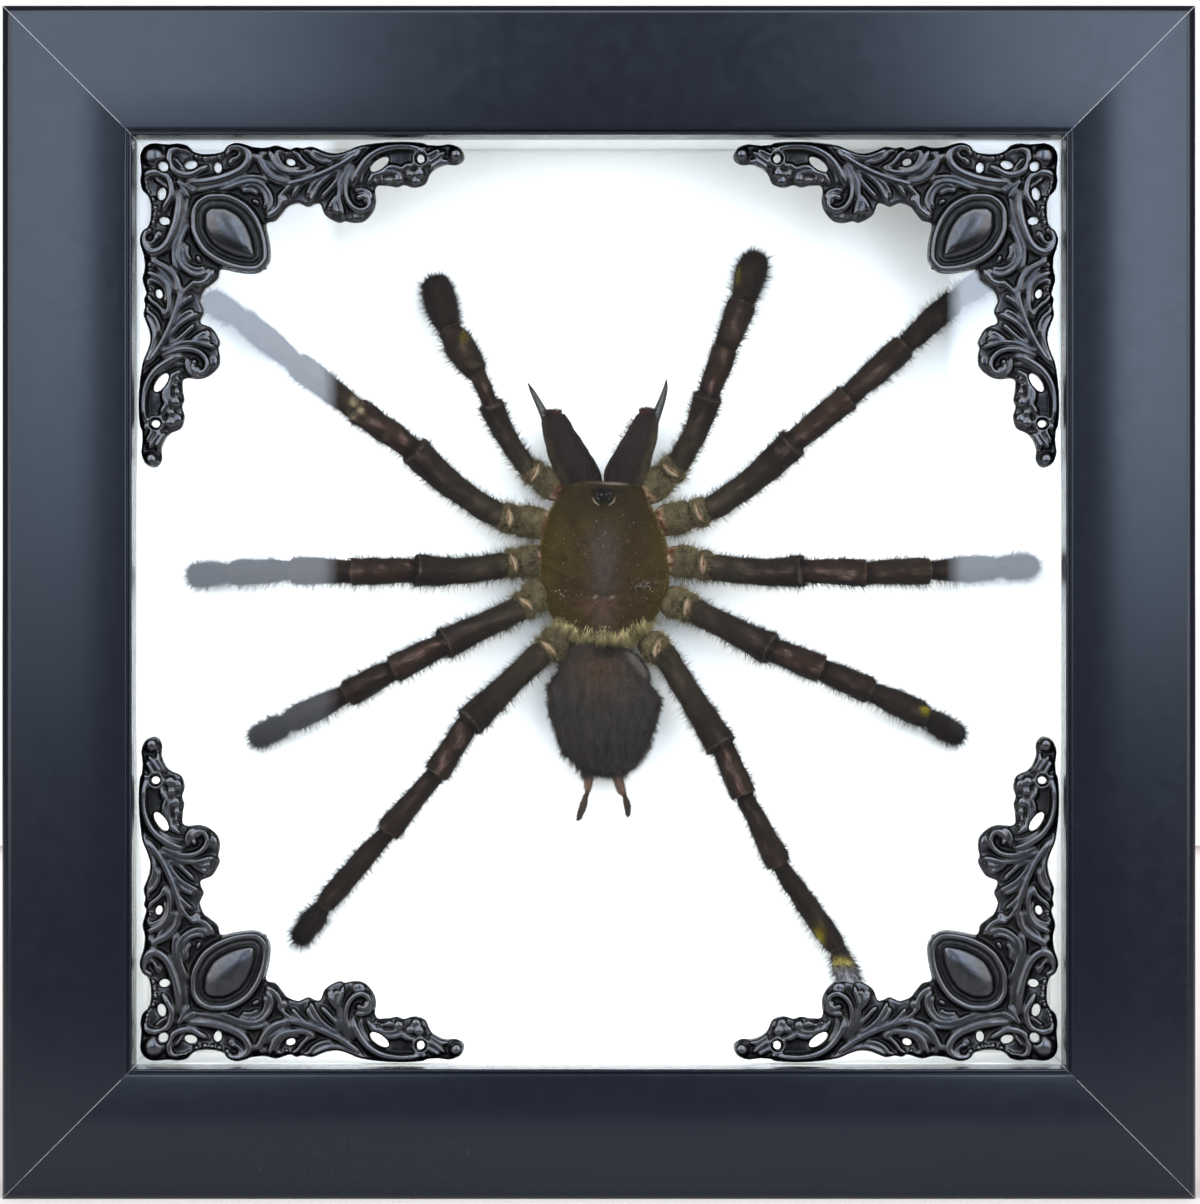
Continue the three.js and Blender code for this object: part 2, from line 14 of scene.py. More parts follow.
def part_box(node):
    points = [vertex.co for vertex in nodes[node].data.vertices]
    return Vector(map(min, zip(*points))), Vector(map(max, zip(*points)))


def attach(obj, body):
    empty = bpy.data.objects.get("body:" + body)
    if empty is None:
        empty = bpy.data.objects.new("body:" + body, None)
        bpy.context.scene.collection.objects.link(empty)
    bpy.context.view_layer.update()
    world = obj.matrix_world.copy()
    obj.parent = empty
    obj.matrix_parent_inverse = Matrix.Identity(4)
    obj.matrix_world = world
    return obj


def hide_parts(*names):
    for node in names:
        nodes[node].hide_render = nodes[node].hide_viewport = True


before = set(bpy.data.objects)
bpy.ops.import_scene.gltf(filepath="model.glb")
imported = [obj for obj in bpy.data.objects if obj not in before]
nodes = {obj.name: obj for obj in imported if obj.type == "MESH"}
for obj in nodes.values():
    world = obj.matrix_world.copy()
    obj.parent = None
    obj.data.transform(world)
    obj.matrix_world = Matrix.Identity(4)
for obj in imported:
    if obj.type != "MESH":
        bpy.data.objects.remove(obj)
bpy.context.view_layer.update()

MM = 0.001
rng = np.random.default_rng(7)

# ---------------------------------------------------------------- sizes taken from the frame

rail_low, rail_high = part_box("frame_rail_bottom")
DEPTH = (rail_high.y - rail_low.y) / MM
OUTER = (rail_high.x - rail_low.x) / MM
board_low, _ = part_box("mount_board")
_, ornament_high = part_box("corner_ornament_top_left")
MIDDLE = Vector((0, 0, OUTER / 2))
FRONT = rail_low.y / MM
BOARD_FRONT = board_low.y / MM
ORNAMENT_BACK = ornament_high.y / MM
REBATE = 178.6  # width of the recess behind the lip
LIP = 6.0  # thickness of the lip in front of the glass
SIGHT = 172.4  # clear opening, from sight edge to sight edge


# ---------------------------------------------------------------- meshes

def place(name, points, faces, materials, attributes=None, face_materials=None):
    """Makes a smooth mesh object from points in mm and groups of faces with equal corner counts."""
    world = (np.asarray(points, float) + np.array(MIDDLE)) * MM
    groups = [np.asarray(group, int) for group in faces if len(group)]
    corners = np.concatenate([group.ravel() for group in groups])
    sizes = np.concatenate([np.full(len(group), group.shape[1]) for group in groups])
    mesh = bpy.data.meshes.new(name)
    mesh.vertices.add(len(world))
    mesh.vertices.foreach_set("co", world.ravel())
    mesh.loops.add(len(corners))
    mesh.loops.foreach_set("vertex_index", corners)
    mesh.polygons.add(len(sizes))
    mesh.polygons.foreach_set("loop_start", np.concatenate([[0], np.cumsum(sizes)[:-1]]))
    mesh.update(calc_edges=True)
    mesh.shade_smooth()
    for material in materials:
        mesh.materials.append(material)
    if face_materials is not None:
        mesh.polygons.foreach_set("material_index", np.asarray(face_materials, dtype=np.int32))
    for key, values in (attributes or {}).items():
        layer = mesh.attributes.new(key, "FLOAT", "POINT")
        layer.data.foreach_set("value", np.asarray(values, dtype=np.float32).ravel())
    piece = bpy.data.objects.new(name, mesh)
    bpy.context.scene.collection.objects.link(piece)
    return piece


def ride(piece, slot_name, *replaced):
    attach(piece, "root")
    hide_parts(*replaced)


def grid_faces(rows, columns, closed):
    """Quads of a grid of points. With closed, the last column meets the first."""
    across = columns if closed else columns - 1
    row, column = np.meshgrid(np.arange(rows - 1), np.arange(across), indexing="ij")
    row, column = row.ravel(), column.ravel()
    following = (column + 1) % columns
    return np.stack([row * columns + column, row * columns + following,
                     (row + 1) * columns + following, (row + 1) * columns + column], 1)


def smooth_curve(points, per_span):
    """Catmull-Rom curve through points."""
    points = np.asarray(points, float)
    ends = np.vstack([2 * points[0] - points[1], points, 2 * points[-1] - points[-2]])
    share = np.linspace(0, 1, per_span, endpoint=False)[:, None]
    spans = []
    for index in range(len(points) - 1):
        before, start, end, after = ends[index:index + 4]
        spans.append(0.5 * (2 * start + (end - before) * share
                            + (2 * before - 5 * start + 4 * end - after) * share ** 2
                            + (3 * start - before - 3 * end + after) * share ** 3))
    return np.vstack(spans + [points[-1:]])


def unit(vectors):
    return vectors / np.maximum(np.linalg.norm(vectors, axis=-1, keepdims=True), 1e-9)


WAVES = 7
WAVES_PEAK = 3.2  # the waves' sum seldom passes this


def wobble(points, scale, seed):
    """Smooth noise between about -1 and 1, from a few sine waves in random directions."""
    source = np.random.default_rng(seed)
    total = np.zeros(points.shape[:-1])
    for _ in range(WAVES):
        direction = unit(source.normal(size=3))
        stretch = source.uniform(0.6, 1.7) / scale
        total += np.sin(points @ direction * stretch * 2 * math.pi + source.uniform(0, 2 * math.pi))
    return total / WAVES_PEAK


def upturned(flat, triangles, least=0.0):
    """Turns triangles of flat points the same way round, and keeps those of at least twice an area"""
    first = flat[triangles[:, 1]] - flat[triangles[:, 0]]
    second = flat[triangles[:, 2]] - flat[triangles[:, 0]]
    turn = first[:, 0] * second[:, 1] - first[:, 1] * second[:, 0]
    triangles = np.where(turn[:, None] < 0, triangles[:, ::-1], triangles)
    return triangles[abs(turn) >= least]


# ---------------------------------------------------------------- materials

def srgb(code):
    parts = [int(code[index:index + 2], 16) / 255 for index in (1, 3, 5)]
    linear = [part / 12.92 if part <= 0.04045 else ((part + 0.055) / 1.055) ** 2.4 for part in parts]
    return (*linear, 1)


class Finish:
    """One procedural material and short ways to add nodes to it."""

    def __init__(self, name, specular=0.5, roughness=0.5, metallic=0.0, **more):
        self.material = bpy.data.materials.new(name)
        self.material.use_nodes = True
        self.tree = self.material.node_tree
        self.shader = self.tree.nodes["Principled BSDF"]
        self.set(self.shader, {"Specular IOR Level": specular, "Roughness": roughness,
                               "Metallic": metallic, **more})
        coordinates = self.tree.nodes.new("ShaderNodeTexCoord")
        self.place = coordinates.outputs["Object"]

    def set(self, node, inputs):
        for key, value in inputs.items():
            socket = node.inputs[key]
            if isinstance(value, bpy.types.NodeSocket):
                self.tree.links.new(value, socket)
            else:
                socket.default_value = value

    def add(self, kind, inputs, output=0, **settings):
        node = self.tree.nodes.new(kind)
        for key, value in settings.items():
            setattr(node, key, value)
        self.set(node, inputs)
        return node.outputs[output]

    def noise(self, size, detail=3.0, roughness=0.55, place=None):
        """Noise whose features are about size mm across"""
        inputs = {"Vector": place or self.place, "Scale": 1 / (size * MM),
                  "Detail": detail, "Roughness": roughness}
        return self.add("ShaderNodeTexNoise", inputs)

    def grain(self, size, detail=4.0):
        """Noise drawn out along a grown piece, from the places in mm that come with its mesh"""
        places = {axis: self.value("grain_" + axis.lower()) for axis in "XYZ"}
        inputs = {"Vector": self.add("ShaderNodeCombineXYZ", places), "Scale": 1 / size,
                  "Detail": detail, "Roughness": 0.6}
        return self.add("ShaderNodeTexNoise", inputs)

    def cells(self, size):
        """Cells about size mm across, each of one random colour"""
        inputs = {"Vector": self.place, "Scale": 1 / (size * MM)}
        return self.add("ShaderNodeTexVoronoi", inputs, "Color")

    def stretched(self, x, y, z):
        inputs = {"Vector": self.place, "Scale": (x, y, z)}
        return self.add("ShaderNodeMapping", inputs)

    def value(self, attribute):
        return self.add("ShaderNodeAttribute", {}, "Fac", attribute_name=attribute)

    def maths(self, operation, first, second=0.0):
        return self.add("ShaderNodeMath", {0: first, 1: second}, operation=operation)

    def fit(self, value, low, high, new_low=0.0, new_high=1.0):
        inputs = {"Value": value, "From Min": low, "From Max": high,
                  "To Min": new_low, "To Max": new_high}
        return self.add("ShaderNodeMapRange", inputs)

    def mix(self, share, first, second, blend="MIX"):
        inputs = {0: share, 6: self.colour(first), 7: self.colour(second)}
        return self.add("ShaderNodeMix", inputs, 2, data_type="RGBA", blend_type=blend)

    def tint(self, colour, attribute, tint, uneven=None, least=1.0):
        """Mixes a tint in where the mesh says so, and only to a least share where the noise is 0"""
        share = self.value(attribute)
        if uneven is not None:
            share = self.maths("MULTIPLY", share, self.fit(uneven, 0, 1, least, 1))
        return self.mix(share, colour, tint)

    def colour(self, value):
        return srgb(value) if isinstance(value, str) else value

    def bump(self, height, depth, strength=1.0):
        """Raises the surface by height times depth mm"""
        inputs = {"Height": height, "Distance": depth * MM, "Strength": strength}
        self.set(self.shader, {"Normal": self.add("ShaderNodeBump", inputs)})

    def finish(self, colour, roughness=None):
        self.set(self.shader, {"Base Color": self.colour(colour)})
        if roughness is not None:
            self.set(self.shader, {"Roughness": roughness})
        return self.material


def satin_lacquer():
    """Black lacquer over a filled wood moulding, with faint dust"""
    made = Finish("satin_lacquer", 0.3, **{"Specular Tint": (0.8, 0.91, 1.0, 1)})
    dust = made.fit(made.noise(0.9, 6), 0.6, 0.78, 0, 0.12)
    colour = made.mix(dust, made.mix(made.noise(40, 2), "#0e1119", "#12151d"), "#30333b")
    made.bump(made.noise(1.4, 4), 0.004, 0.4)
    return made.finish(colour, made.fit(made.noise(3, 5), 0.3, 0.7, 0.16, 0.2))


def cast_metal():
    """Black plated casting, darker in its hollows, partly its antique black and partly painted shade, and
    rubbed smooth along its ridges
    """
    made = Finish("cast_metal", metallic=1.0)
    mottle = made.fit(made.noise(1.1, 4), 0.3, 0.7, -0.06, 0.06)
    uneven = made.maths("ADD", made.value("relief"), mottle)
    # relief darkens the hollows: partly the casting's antique black, partly painted shade
    colour = made.mix(made.fit(uneven, 0.3, 0.8), "#18191b", "#4b4d51")
    colour = made.mix(made.fit(made.noise(5, 3), 0.5, 0.75, 0, 0.25), colour, "#35332d")
    made.bump(made.noise(0.35, 3), 0.03, 0.6)
    return made.finish(colour, made.fit(uneven, 0.2, 0.8, 0.36, 0.22))


def white_card():
    made = Finish("white_card", 0.2)
    fibres = made.noise(0.5, 5, 0.7)
    colour = made.mix(made.noise(30, 2), "#f4f4f2", "#efefed")
    colour = made.mix(made.fit(fibres, 0.6, 0.8, 0, 0.3), colour, "#e4e3df")
    made.bump(fibres, 0.02, 0.5)
    return made.finish(colour, made.fit(fibres, 0.3, 0.7, 0.8, 0.95))


def hardboard():
    made = Finish("hardboard")
    flecks = made.noise(1.3, 6, 0.7, place=made.stretched(1, 1, 0.35))
    colour = made.mix(flecks, "#6a4a2f", "#8c6844")
    specks = made.fit(made.noise(0.5, 3), 0.62, 0.7)
    colour = made.mix(specks, colour, "#4a3422")
    made.bump(flecks, 0.06, 0.5)
    return made.finish(colour, made.fit(flecks, 0.3, 0.7, 0.6, 0.8))


def zinc_steel():
    made = Finish("zinc_steel", metallic=1.0)
    lines = made.noise(0.6, 4, place=made.stretched(0.08, 1, 1))
    colour = made.mix(made.cells(4), "#9da2a6", "#b5b9bc")
    colour = made.mix(made.fit(made.noise(2, 4), 0.6, 0.75, 0, 0.6), colour, "#75716b")
    made.bump(lines, 0.015, 0.5)
    return made.finish(colour, made.fit(lines, 0.3, 0.7, 0.32, 0.5))


def switched(tree, ray, usual, special):
    """One shader for one kind of ray, and the usual one for the others"""
    path = tree.nodes.new("ShaderNodeLightPath")
    mixer = tree.nodes.new("ShaderNodeMixShader")
    for socket, source in zip(mixer.inputs, (path.outputs[ray], usual, special)):
        tree.links.new(source, socket)
    return mixer.outputs[0]


def clear_glass():
    """Window glass that lets shadow rays through, so that the light reaches the specimen"""
    made = Finish("clear_glass", roughness=0.0, **{"IOR": 1.5, "Transmission Weight": 1.0})
    material = made.finish(made.mix(made.noise(60, 1), "#fbfefd", "#f8fcfb"))
    tree = made.tree
    open_air = tree.nodes.new("ShaderNodeBsdfTransparent").outputs[0]
    surface = switched(tree, "Is Shadow Ray", made.shader.outputs[0], open_air)
    tree.links.new(surface, tree.nodes["Material Output"].inputs["Surface"])
    return material


def pale_floor():
    made = Finish("pale_floor", 0.2)
    grain = made.noise(3, 4)
    made.bump(grain, 0.03, 0.3)
    return made.finish(made.mix(grain, "#dfdfdd", "#e4e4e2"), made.fit(grain, 0.3, 0.7, 0.7, 0.85))


def limb_cuticle():
    """Taupe brown skin of the limbs. Where it is reddish, olive, bare and so on comes with the mesh."""
    made = Finish("limb_cuticle", 0.035)
    streaks = made.fit(made.grain(0.55), 0.32, 0.68)
    fine = made.fit(made.grain(0.22), 0.4, 0.7)
    broad = made.noise(3.5, 3)
    olive = made.mix(made.fit(made.noise(2.2, 4), 0.35, 0.65), "#2a2317", "#544b36")
    membrane = made.mix(made.fit(made.noise(1.6, 3), 0.45, 0.6), "#3c130b", "#85705a")
    colour = made.mix(made.fit(broad, 0.3, 0.7), "#0c0808", "#130f0e")
    colour = made.mix(made.maths("MULTIPLY", streaks, 0.7), colour, "#211a17")
    colour = made.tint(colour, "reddish", "#28130c", streaks, 0.4)
    # pink on the limbs is a painted highlight: pale streaks along each segment's upper side
    colour = made.tint(colour, "pink", "#7d655d", fine, 0.15)
    colour = made.tint(colour, "olive", olive, made.fit(broad, 0.25, 0.7), 0.5)
    # dark: dark joints and bases, and painted shade in the crease between coxa and trochanter
    colour = made.tint(colour, "dark", "#0b0706")
    colour = made.tint(colour, "pale", made.mix(streaks, "#554b3b", "#85785f"))
    colour = made.tint(colour, "membrane", membrane)
    # painted highlight: the bright line along each trochanter's slit
    colour = made.tint(colour, "peach", "#b89a82")
    colour = made.tint(colour, "stain", made.mix(streaks, "#6f5c08", "#a8991a"))
    # painted glare: whitens a leg tip as a reflection in the glass would
    colour = made.tint(colour, "painted_glare", "#86848a")
    made.bump(made.maths("ADD", made.noise(0.35, 4), made.maths("MULTIPLY", streaks, 0.6)), 0.05, 0.7)
    return made.finish(colour, made.fit(streaks, 0, 1, 0.5, 0.68))


def carapace_cuticle():
    """Olive brown shell, grey violet along the middle, partly its colour and partly painted sheen, yellowish
    at the rim
    """
    made = Finish("carapace_cuticle", 0.03)
    broad = made.fit(made.noise(3.0, 5, 0.6), 0.35, 0.65)
    rays = made.fit(made.grain(0.6), 0.32, 0.68)
    fine = made.fit(made.noise(0.45, 5, 0.65), 0.35, 0.65)
    dust = made.fit(made.noise(0.7, 3, 0.5), 0.66, 0.72, 0, 0.5)
    colour = made.mix(broad, "#0c0702", "#261c09")
    colour = made.mix(made.maths("MULTIPLY", rays, 0.7), colour, "#31250b")
    colour = made.mix(made.maths("MULTIPLY", fine, 0.4), colour, "#352914")
    # middle: a grey violet stripe, partly the shell's colour and partly painted sheen
    colour = made.tint(colour, "middle", made.mix(fine, "#2a2422", "#3a3230"), rays, 0.6)
    colour = made.tint(colour, "pink", "#4a3932", fine, 0.5)
    colour = made.tint(colour, "brown", "#24140a", broad, 0.4)
    colour = made.tint(colour, "rim", "#35290b", fine, 0.6)
    colour = made.mix(dust, colour, "#5a5349")
    colour = made.tint(colour, "dark", "#0a0807")
    colour = made.tint(colour, "pale", "#7d716c")
    made.bump(made.maths("ADD", fine, made.maths("MULTIPLY", rays, 0.5)), 0.06, 0.8)
    return made.finish(colour, made.fit(fine, 0, 1, 0.42, 0.6))


def abdomen_skin():
    """Charcoal skin under the abdomen's velvet"""
    made = Finish("abdomen_skin", 0.06, 0.8)
    streaks = made.fit(made.grain(1.4), 0.3, 0.7)
    colour = made.mix(streaks, "#1d1b1a", "#2b2826")
    colour = made.tint(colour, "brown", made.mix(streaks, "#2e2119", "#3f2f22"))
    colour = made.tint(colour, "pink", made.mix(streaks, "#4a352b", "#856a5b"))
    # dark: painted shade in the abdomen's hollow, beside its fold and in its side crease, and the spinnerets'
    # dark joint
    colour = made.tint(colour, "dark", "#0d0b0a")
    colour = made.tint(colour, "pale", "#4f4741")
    made.bump(made.maths("ADD", made.noise(0.5, 4), streaks), 0.08, 0.8)
    return made.finish(colour)


def fang_black():
    made = Finish("fang_black")
    colour = made.mix(made.noise(1.5, 3), "#0b0b0c", "#1c1a19")
    made.bump(made.noise(0.5, 2), 0.02, 0.4)
    return made.finish(colour, made.fit(made.noise(1.5, 3), 0.3, 0.7, 0.16, 0.24))


def eye_shine():
    made = Finish("eye_shine", 0.4)
    colour = made.mix(made.noise(0.4, 2), "#080808", "#1d1a18")
    return made.finish(colour, made.fit(made.noise(0.3, 2), 0.3, 0.7, 0.14, 0.22))


def hair(name, dark, light, warm):
    """Hair that is dark at its root and light at its tip. Its shade and warmth come with the mesh."""
    made = Finish(name, 0.07, 0.6)
    shade = made.maths("MULTIPLY", made.value("shade"), 0.6)
    tip = made.maths("MULTIPLY", made.value("tip"), 0.4)
    colour = made.mix(made.maths("ADD", shade, tip), dark, light)
    colour = made.tint(colour, "warm", warm)
    colour = made.mix(made.fit(made.noise(2.5, 3), 0.4, 0.65, 0, 0.3), colour, dark)
    return made.finish(colour)


LACQUER = satin_lacquer()
METAL = cast_metal()
CARD = white_card()
HARDBOARD = hardboard()
ZINC = zinc_steel()
GLASS = clear_glass()
LIMB_SKIN = limb_cuticle()
CARAPACE_SKIN = carapace_cuticle()
ABDOMEN_SKIN = abdomen_skin()
FANG = fang_black()
EYE = eye_shine()
LIMB_HAIR = hair("limb_hair", "#080606", "#211c1a", "#6e6244")
BODY_HAIR = hair("body_hair", "#3a301e", "#665939", "#cbb987")
VELVET = hair("abdomen_velvet", "#191615", "#4b443e", "#35281a")
JAW_HAIR = hair("jaw_hair", "#0d0a09", "#342d2a", "#5c3228")


# ---------------------------------------------------------------- camera and light

CAMERA_DISTANCE = 900.0
SENSOR_WIDTH = 36.0
PHOTO_WIDTH = 1200
FACE_MM_PER_PIXEL = 0.1844
SIDE_STEP = 0.2  # the photograph is framed this far to the right of the middle


def to_world(x, y, z):
    return (Vector((x, y, z)) + MIDDLE) * MM


def add_camera():
    camera = bpy.data.cameras.new("camera")
    camera.sensor_fit = "HORIZONTAL"
    camera.sensor_width = SENSOR_WIDTH
    camera.lens = SENSOR_WIDTH * CAMERA_DISTANCE / (PHOTO_WIDTH * FACE_MM_PER_PIXEL)
    holder = bpy.data.objects.new("camera", camera)
    holder.location = to_world(SIDE_STEP, FRONT - CAMERA_DISTANCE, 0)
    holder.rotation_euler = (math.pi / 2, 0, 0)
    bpy.context.scene.collection.objects.link(holder)
    bpy.context.scene.camera = holder


COOL, WARM, NEUTRAL, WHITE = (0.75, 0.84, 1.0), (1.0, 0.94, 0.9), (1.0, 0.97, 0.95), (1, 1, 1)
BACK_PANEL_PLACE = 1300
# Lights in the camera's plane: left, right, foot and head in mm, radiance, colour
SOFT_LIGHTS = {
    "soft_left": (-1250, -460, -100, 1000, 3.7, WARM),
    "soft_right": (460, 1250, -100, 1000, 3.7, WARM),
    "soft_top": (-700, 700, 760, 1500, 4.5, NEUTRAL),
}
# Windows that the glass mirrors: as above, the edge they fade out to, and the fading's height at the foot
WINDOWS = {
    "window_left": (-420, -97, -65, 700, 5.2, COOL, "right", 175),
    "window_right": (129, 420, -50, 700, 6.3, COOL, "left", 120),
}
WINDOW_SIDE_FADE = 6
ROOM = ((0.92, 0.96, 1.0), 0.11)  # what the glass and the lacquer mirror beside the lights
FILL = ((1.0, 0.78, 0.76), 0.4)  # what lights dull surfaces from all around
BACKDROP = (WHITE, 1.0)  # what the camera sees behind the frame


def link_share(tree, source, low, high, target):
    ramp = tree.nodes.new("ShaderNodeMapRange")
    ramp.inputs["From Min"].default_value = low
    ramp.inputs["From Max"].default_value = high
    tree.links.new(source, ramp.inputs["Value"])
    tree.links.new(ramp.outputs["Result"], target)


def fade_out(light, width, height, inner_edge, rise):
    """Fades a light out towards its inner edge, "left" or "right", and over rise mm at its foot"""
    light.use_nodes = True
    tree = light.node_tree
    surface = tree.nodes.new("ShaderNodeNewGeometry")
    split = tree.nodes.new("ShaderNodeSeparateXYZ")
    product = tree.nodes.new("ShaderNodeMath")
    product.operation = "MULTIPLY"
    tree.links.new(surface.outputs["Parametric"], split.inputs[0])
    fade = WINDOW_SIDE_FADE / width
    bounds = (0, fade) if inner_edge == "left" else (1, 1 - fade)
    link_share(tree, split.outputs[0], *bounds, product.inputs[0])
    link_share(tree, split.outputs[1], 0, rise / height, product.inputs[1])
    tree.links.new(product.outputs[0], tree.nodes["Emission"].inputs["Strength"])


def add_panel(name, left, right, low, high, radiance, colour, *fading, y=FRONT - CAMERA_DISTANCE, facing=1):
    """A soft rectangular light in the plane y, its edges in mm, which faces along y"""
    light = bpy.data.lights.new(name, "AREA")
    light.shape = "RECTANGLE"
    light.size = (right - left) * MM
    light.size_y = (high - low) * MM
    light.energy = radiance * 4 * light.size * light.size_y
    light.color = colour
    if fading:
        fade_out(light, right - left, high - low, *fading)
    holder = bpy.data.objects.new(name, light)
    holder.location = to_world((left + right) / 2, y, (low + high) / 2)
    holder.rotation_euler = (math.pi / 2 * facing, 0, 0)
    bpy.context.scene.collection.objects.link(holder)


def background(node, colour, strength):
    node.inputs["Color"].default_value = (*colour, 1)
    node.inputs["Strength"].default_value = strength
    return node.outputs[0]


def add_world():
    world = bpy.data.worlds.new("studio")
    bpy.context.scene.world = world
    world.use_nodes = True
    tree = world.node_tree
    room = background(tree.nodes["Background"], *ROOM)
    fill, seen = (background(tree.nodes.new("ShaderNodeBackground"), *kind) for kind in (FILL, BACKDROP))
    around = switched(tree, "Is Diffuse Ray", room, fill)
    shown = switched(tree, "Is Camera Ray", around, seen)
    tree.links.new(shown, tree.nodes["World Output"].inputs["Surface"])


def add_light():
    bpy.context.scene.view_settings.view_transform = "Standard"
    for name, panel in {**WINDOWS, **SOFT_LIGHTS}.items():
        add_panel(name, *panel)
    add_panel("panel_back", -900, 900, 0, 900, 2.0, WHITE, y=BACK_PANEL_PLACE, facing=-1)
    add_world()


FLOOR_SIDE, FLOOR_FRONT, FLOOR_BACK = 1500, -270, 1290


def add_floor():
    low = -OUTER / 2
    corners = [(-FLOOR_SIDE, FLOOR_FRONT, low), (FLOOR_SIDE, FLOOR_FRONT, low),
               (FLOOR_SIDE, FLOOR_BACK, low), (-FLOOR_SIDE, FLOOR_BACK, low)]
    floor = place("floor", corners, [[(0, 1, 2, 3)]], [pale_floor()])


# ---------------------------------------------------------------- frame

FACE_ROUND = 2.0
FACE_CROWN = 0.5
BEAD = 0.65
GROOVE = 0.3
GROOVE_DEPTH = 0.6
LIP_TAPER = 0.4
CORNER_ROUND = 0.35
FINE_ROUND = 0.2
MITRE_GAP = 0.05
RAIL_RINGS = 24


def arc(centre, radius, start, end, count):
    angles = np.radians(np.linspace(start, end, count))
    return [(centre[0] + radius * math.cos(angle), centre[1] + radius * math.sin(angle))
            for angle in angles]


def moulding_section():
    """The moulding from the back of its outer side, over the face, to the rebate: (depth, inwards) in mm"""
    face_width = (OUTER - SIGHT) / 2
    rebate_edge = (OUTER - REBATE) / 2
    groove_edge = face_width - BEAD
    face_end = groove_edge - GROOVE
    points = arc((DEPTH - CORNER_ROUND, CORNER_ROUND), CORNER_ROUND, 0, -90, 5)
    points += [(depth, 0) for depth in np.linspace(DEPTH - 3, FACE_CROWN + FACE_ROUND + 1, 6)]
    points += arc((FACE_CROWN + FACE_ROUND, FACE_ROUND), FACE_ROUND, -90, -180, 12)
    for inwards in np.linspace(FACE_ROUND + 0.8, face_end - 0.6, 18):
        across = (inwards - FACE_ROUND) / (face_end - FACE_ROUND)
        points.append((FACE_CROWN - FACE_CROWN * math.sin(math.pi * across), inwards))
    points += arc((FACE_CROWN + FINE_ROUND, face_end - FINE_ROUND), FINE_ROUND, 180, 90, 4)
    points += [(FACE_CROWN + GROOVE_DEPTH, face_end), (FACE_CROWN + GROOVE_DEPTH, groove_edge)]
    points += arc((FACE_CROWN + BEAD / 2, groove_edge + BEAD / 2), BEAD / 2, 200, 90, 8)
    points += [(FACE_CROWN + BEAD + 0.4, face_width + 0.02), (LIP / 2, face_width + LIP_TAPER / 2)]
    points += arc((LIP - FINE_ROUND, face_width + LIP_TAPER - FINE_ROUND), FINE_ROUND, 90, 0, 4)
    points += [(LIP, rebate_edge + 0.3), (LIP + 0.3, rebate_edge), (DEPTH / 2, rebate_edge)]
    points += arc((DEPTH - CORNER_ROUND, rebate_edge - CORNER_ROUND), CORNER_ROUND, 90, 0, 5)
    return np.array(points)


def turned(points, quarter_turns):
    """Turns points about the picture's middle, as the CAD model turns its rails and corners"""
    x, y, z = points[..., 0], points[..., 1], points[..., 2]
    for _ in range(quarter_turns % 4):
        x, z = z, -x
    return np.stack([x, y, z], -1)


def sharpen(piece, first, last):
    """Makes the edges between the points first to last sharp"""
    edges = np.empty(len(piece.data.edges) * 2, dtype=np.int32)
    piece.data.edges.foreach_get("vertices", edges)
    pairs = edges.reshape(-1, 2)
    on_ring = ((pairs >= first) & (pairs < last)).all(1)
    layer = piece.data.attributes.get("sharp_edge")
    if layer is None:
        layer = piece.data.attributes.new("sharp_edge", "BOOLEAN", "EDGE")
    marks = np.empty(len(pairs), dtype=bool)
    layer.data.foreach_get("value", marks)
    layer.data.foreach_set("value", marks | on_ring)


def add_rails():
    section = moulding_section()
    count = len(section)
    depth, inwards = section[:, 0], section[:, 1]
    reach = OUTER / 2 - inwards - MITRE_GAP
    points = np.vstack([np.stack([share * reach, FRONT + depth, -OUTER / 2 + inwards], -1)
                        for share in np.linspace(-1, 1, RAIL_RINGS)])
    faces = grid_faces(RAIL_RINGS, count, True)[:, ::-1]
    outline = [Vector((x, y, 0)) for x, y in section]
    caps = upturned(section, np.array(geometry.tessellate_polygon([outline])))
    last = count * (RAIL_RINGS - 1)
    for turn, side in enumerate(("bottom", "left", "top", "right")):
        rail = place(f"rail_{side}", turned(points, turn), [faces, caps, caps[:, ::-1] + last], [LACQUER])
        sharpen(rail, 0, count)
        sharpen(rail, last, last + count)
        ride(rail, "frame_black", f"frame_rail_{side}")


def dress_cad_nodes():
    finishes = {"glass_pane": (GLASS, "glass"), "mount_board": (CARD, "white_board"),
                "spacer": (CARD, "white_board"), "backing_panel": (HARDBOARD, "backing"),
                "retaining_tab": (ZINC, "fixings"), "hanger": (ZINC, "fixings")}
    for name, node in nodes.items():
        for start, (material, slot_name) in finishes.items():
            if name.startswith(start):
                node.data.materials.clear()
                node.data.materials.append(material)


# ---------------------------------------------------------------- corner ornaments

# All of a casting's shapes are (along, down) in mm from its corner: along the arm, then down.
# They draw one half of it. The other half is the mirror image in the diagonal.
ORNAMENT_CORNER = 86.5
CELL = 0.2
GRID_START, GRID_LENGTH = 0.8, 61.5  # the square that a casting is worked out on
EDGE_REACH = 2.0  # edges are looked for this far around them
RELIEF_REACH = 1.1  # relief is the height over the mean this far around
FOOT_RELIEF = -0.4
EDGE_HEIGHT = 0.5
HOLLOW_HEIGHT = 1.15
EDGE_ROUND = 0.55
STROKE_FULLNESS = 1.75  # strokes are drawn by their crests, and are this much fatter at their feet
KNOB_FULLNESS = 1.2

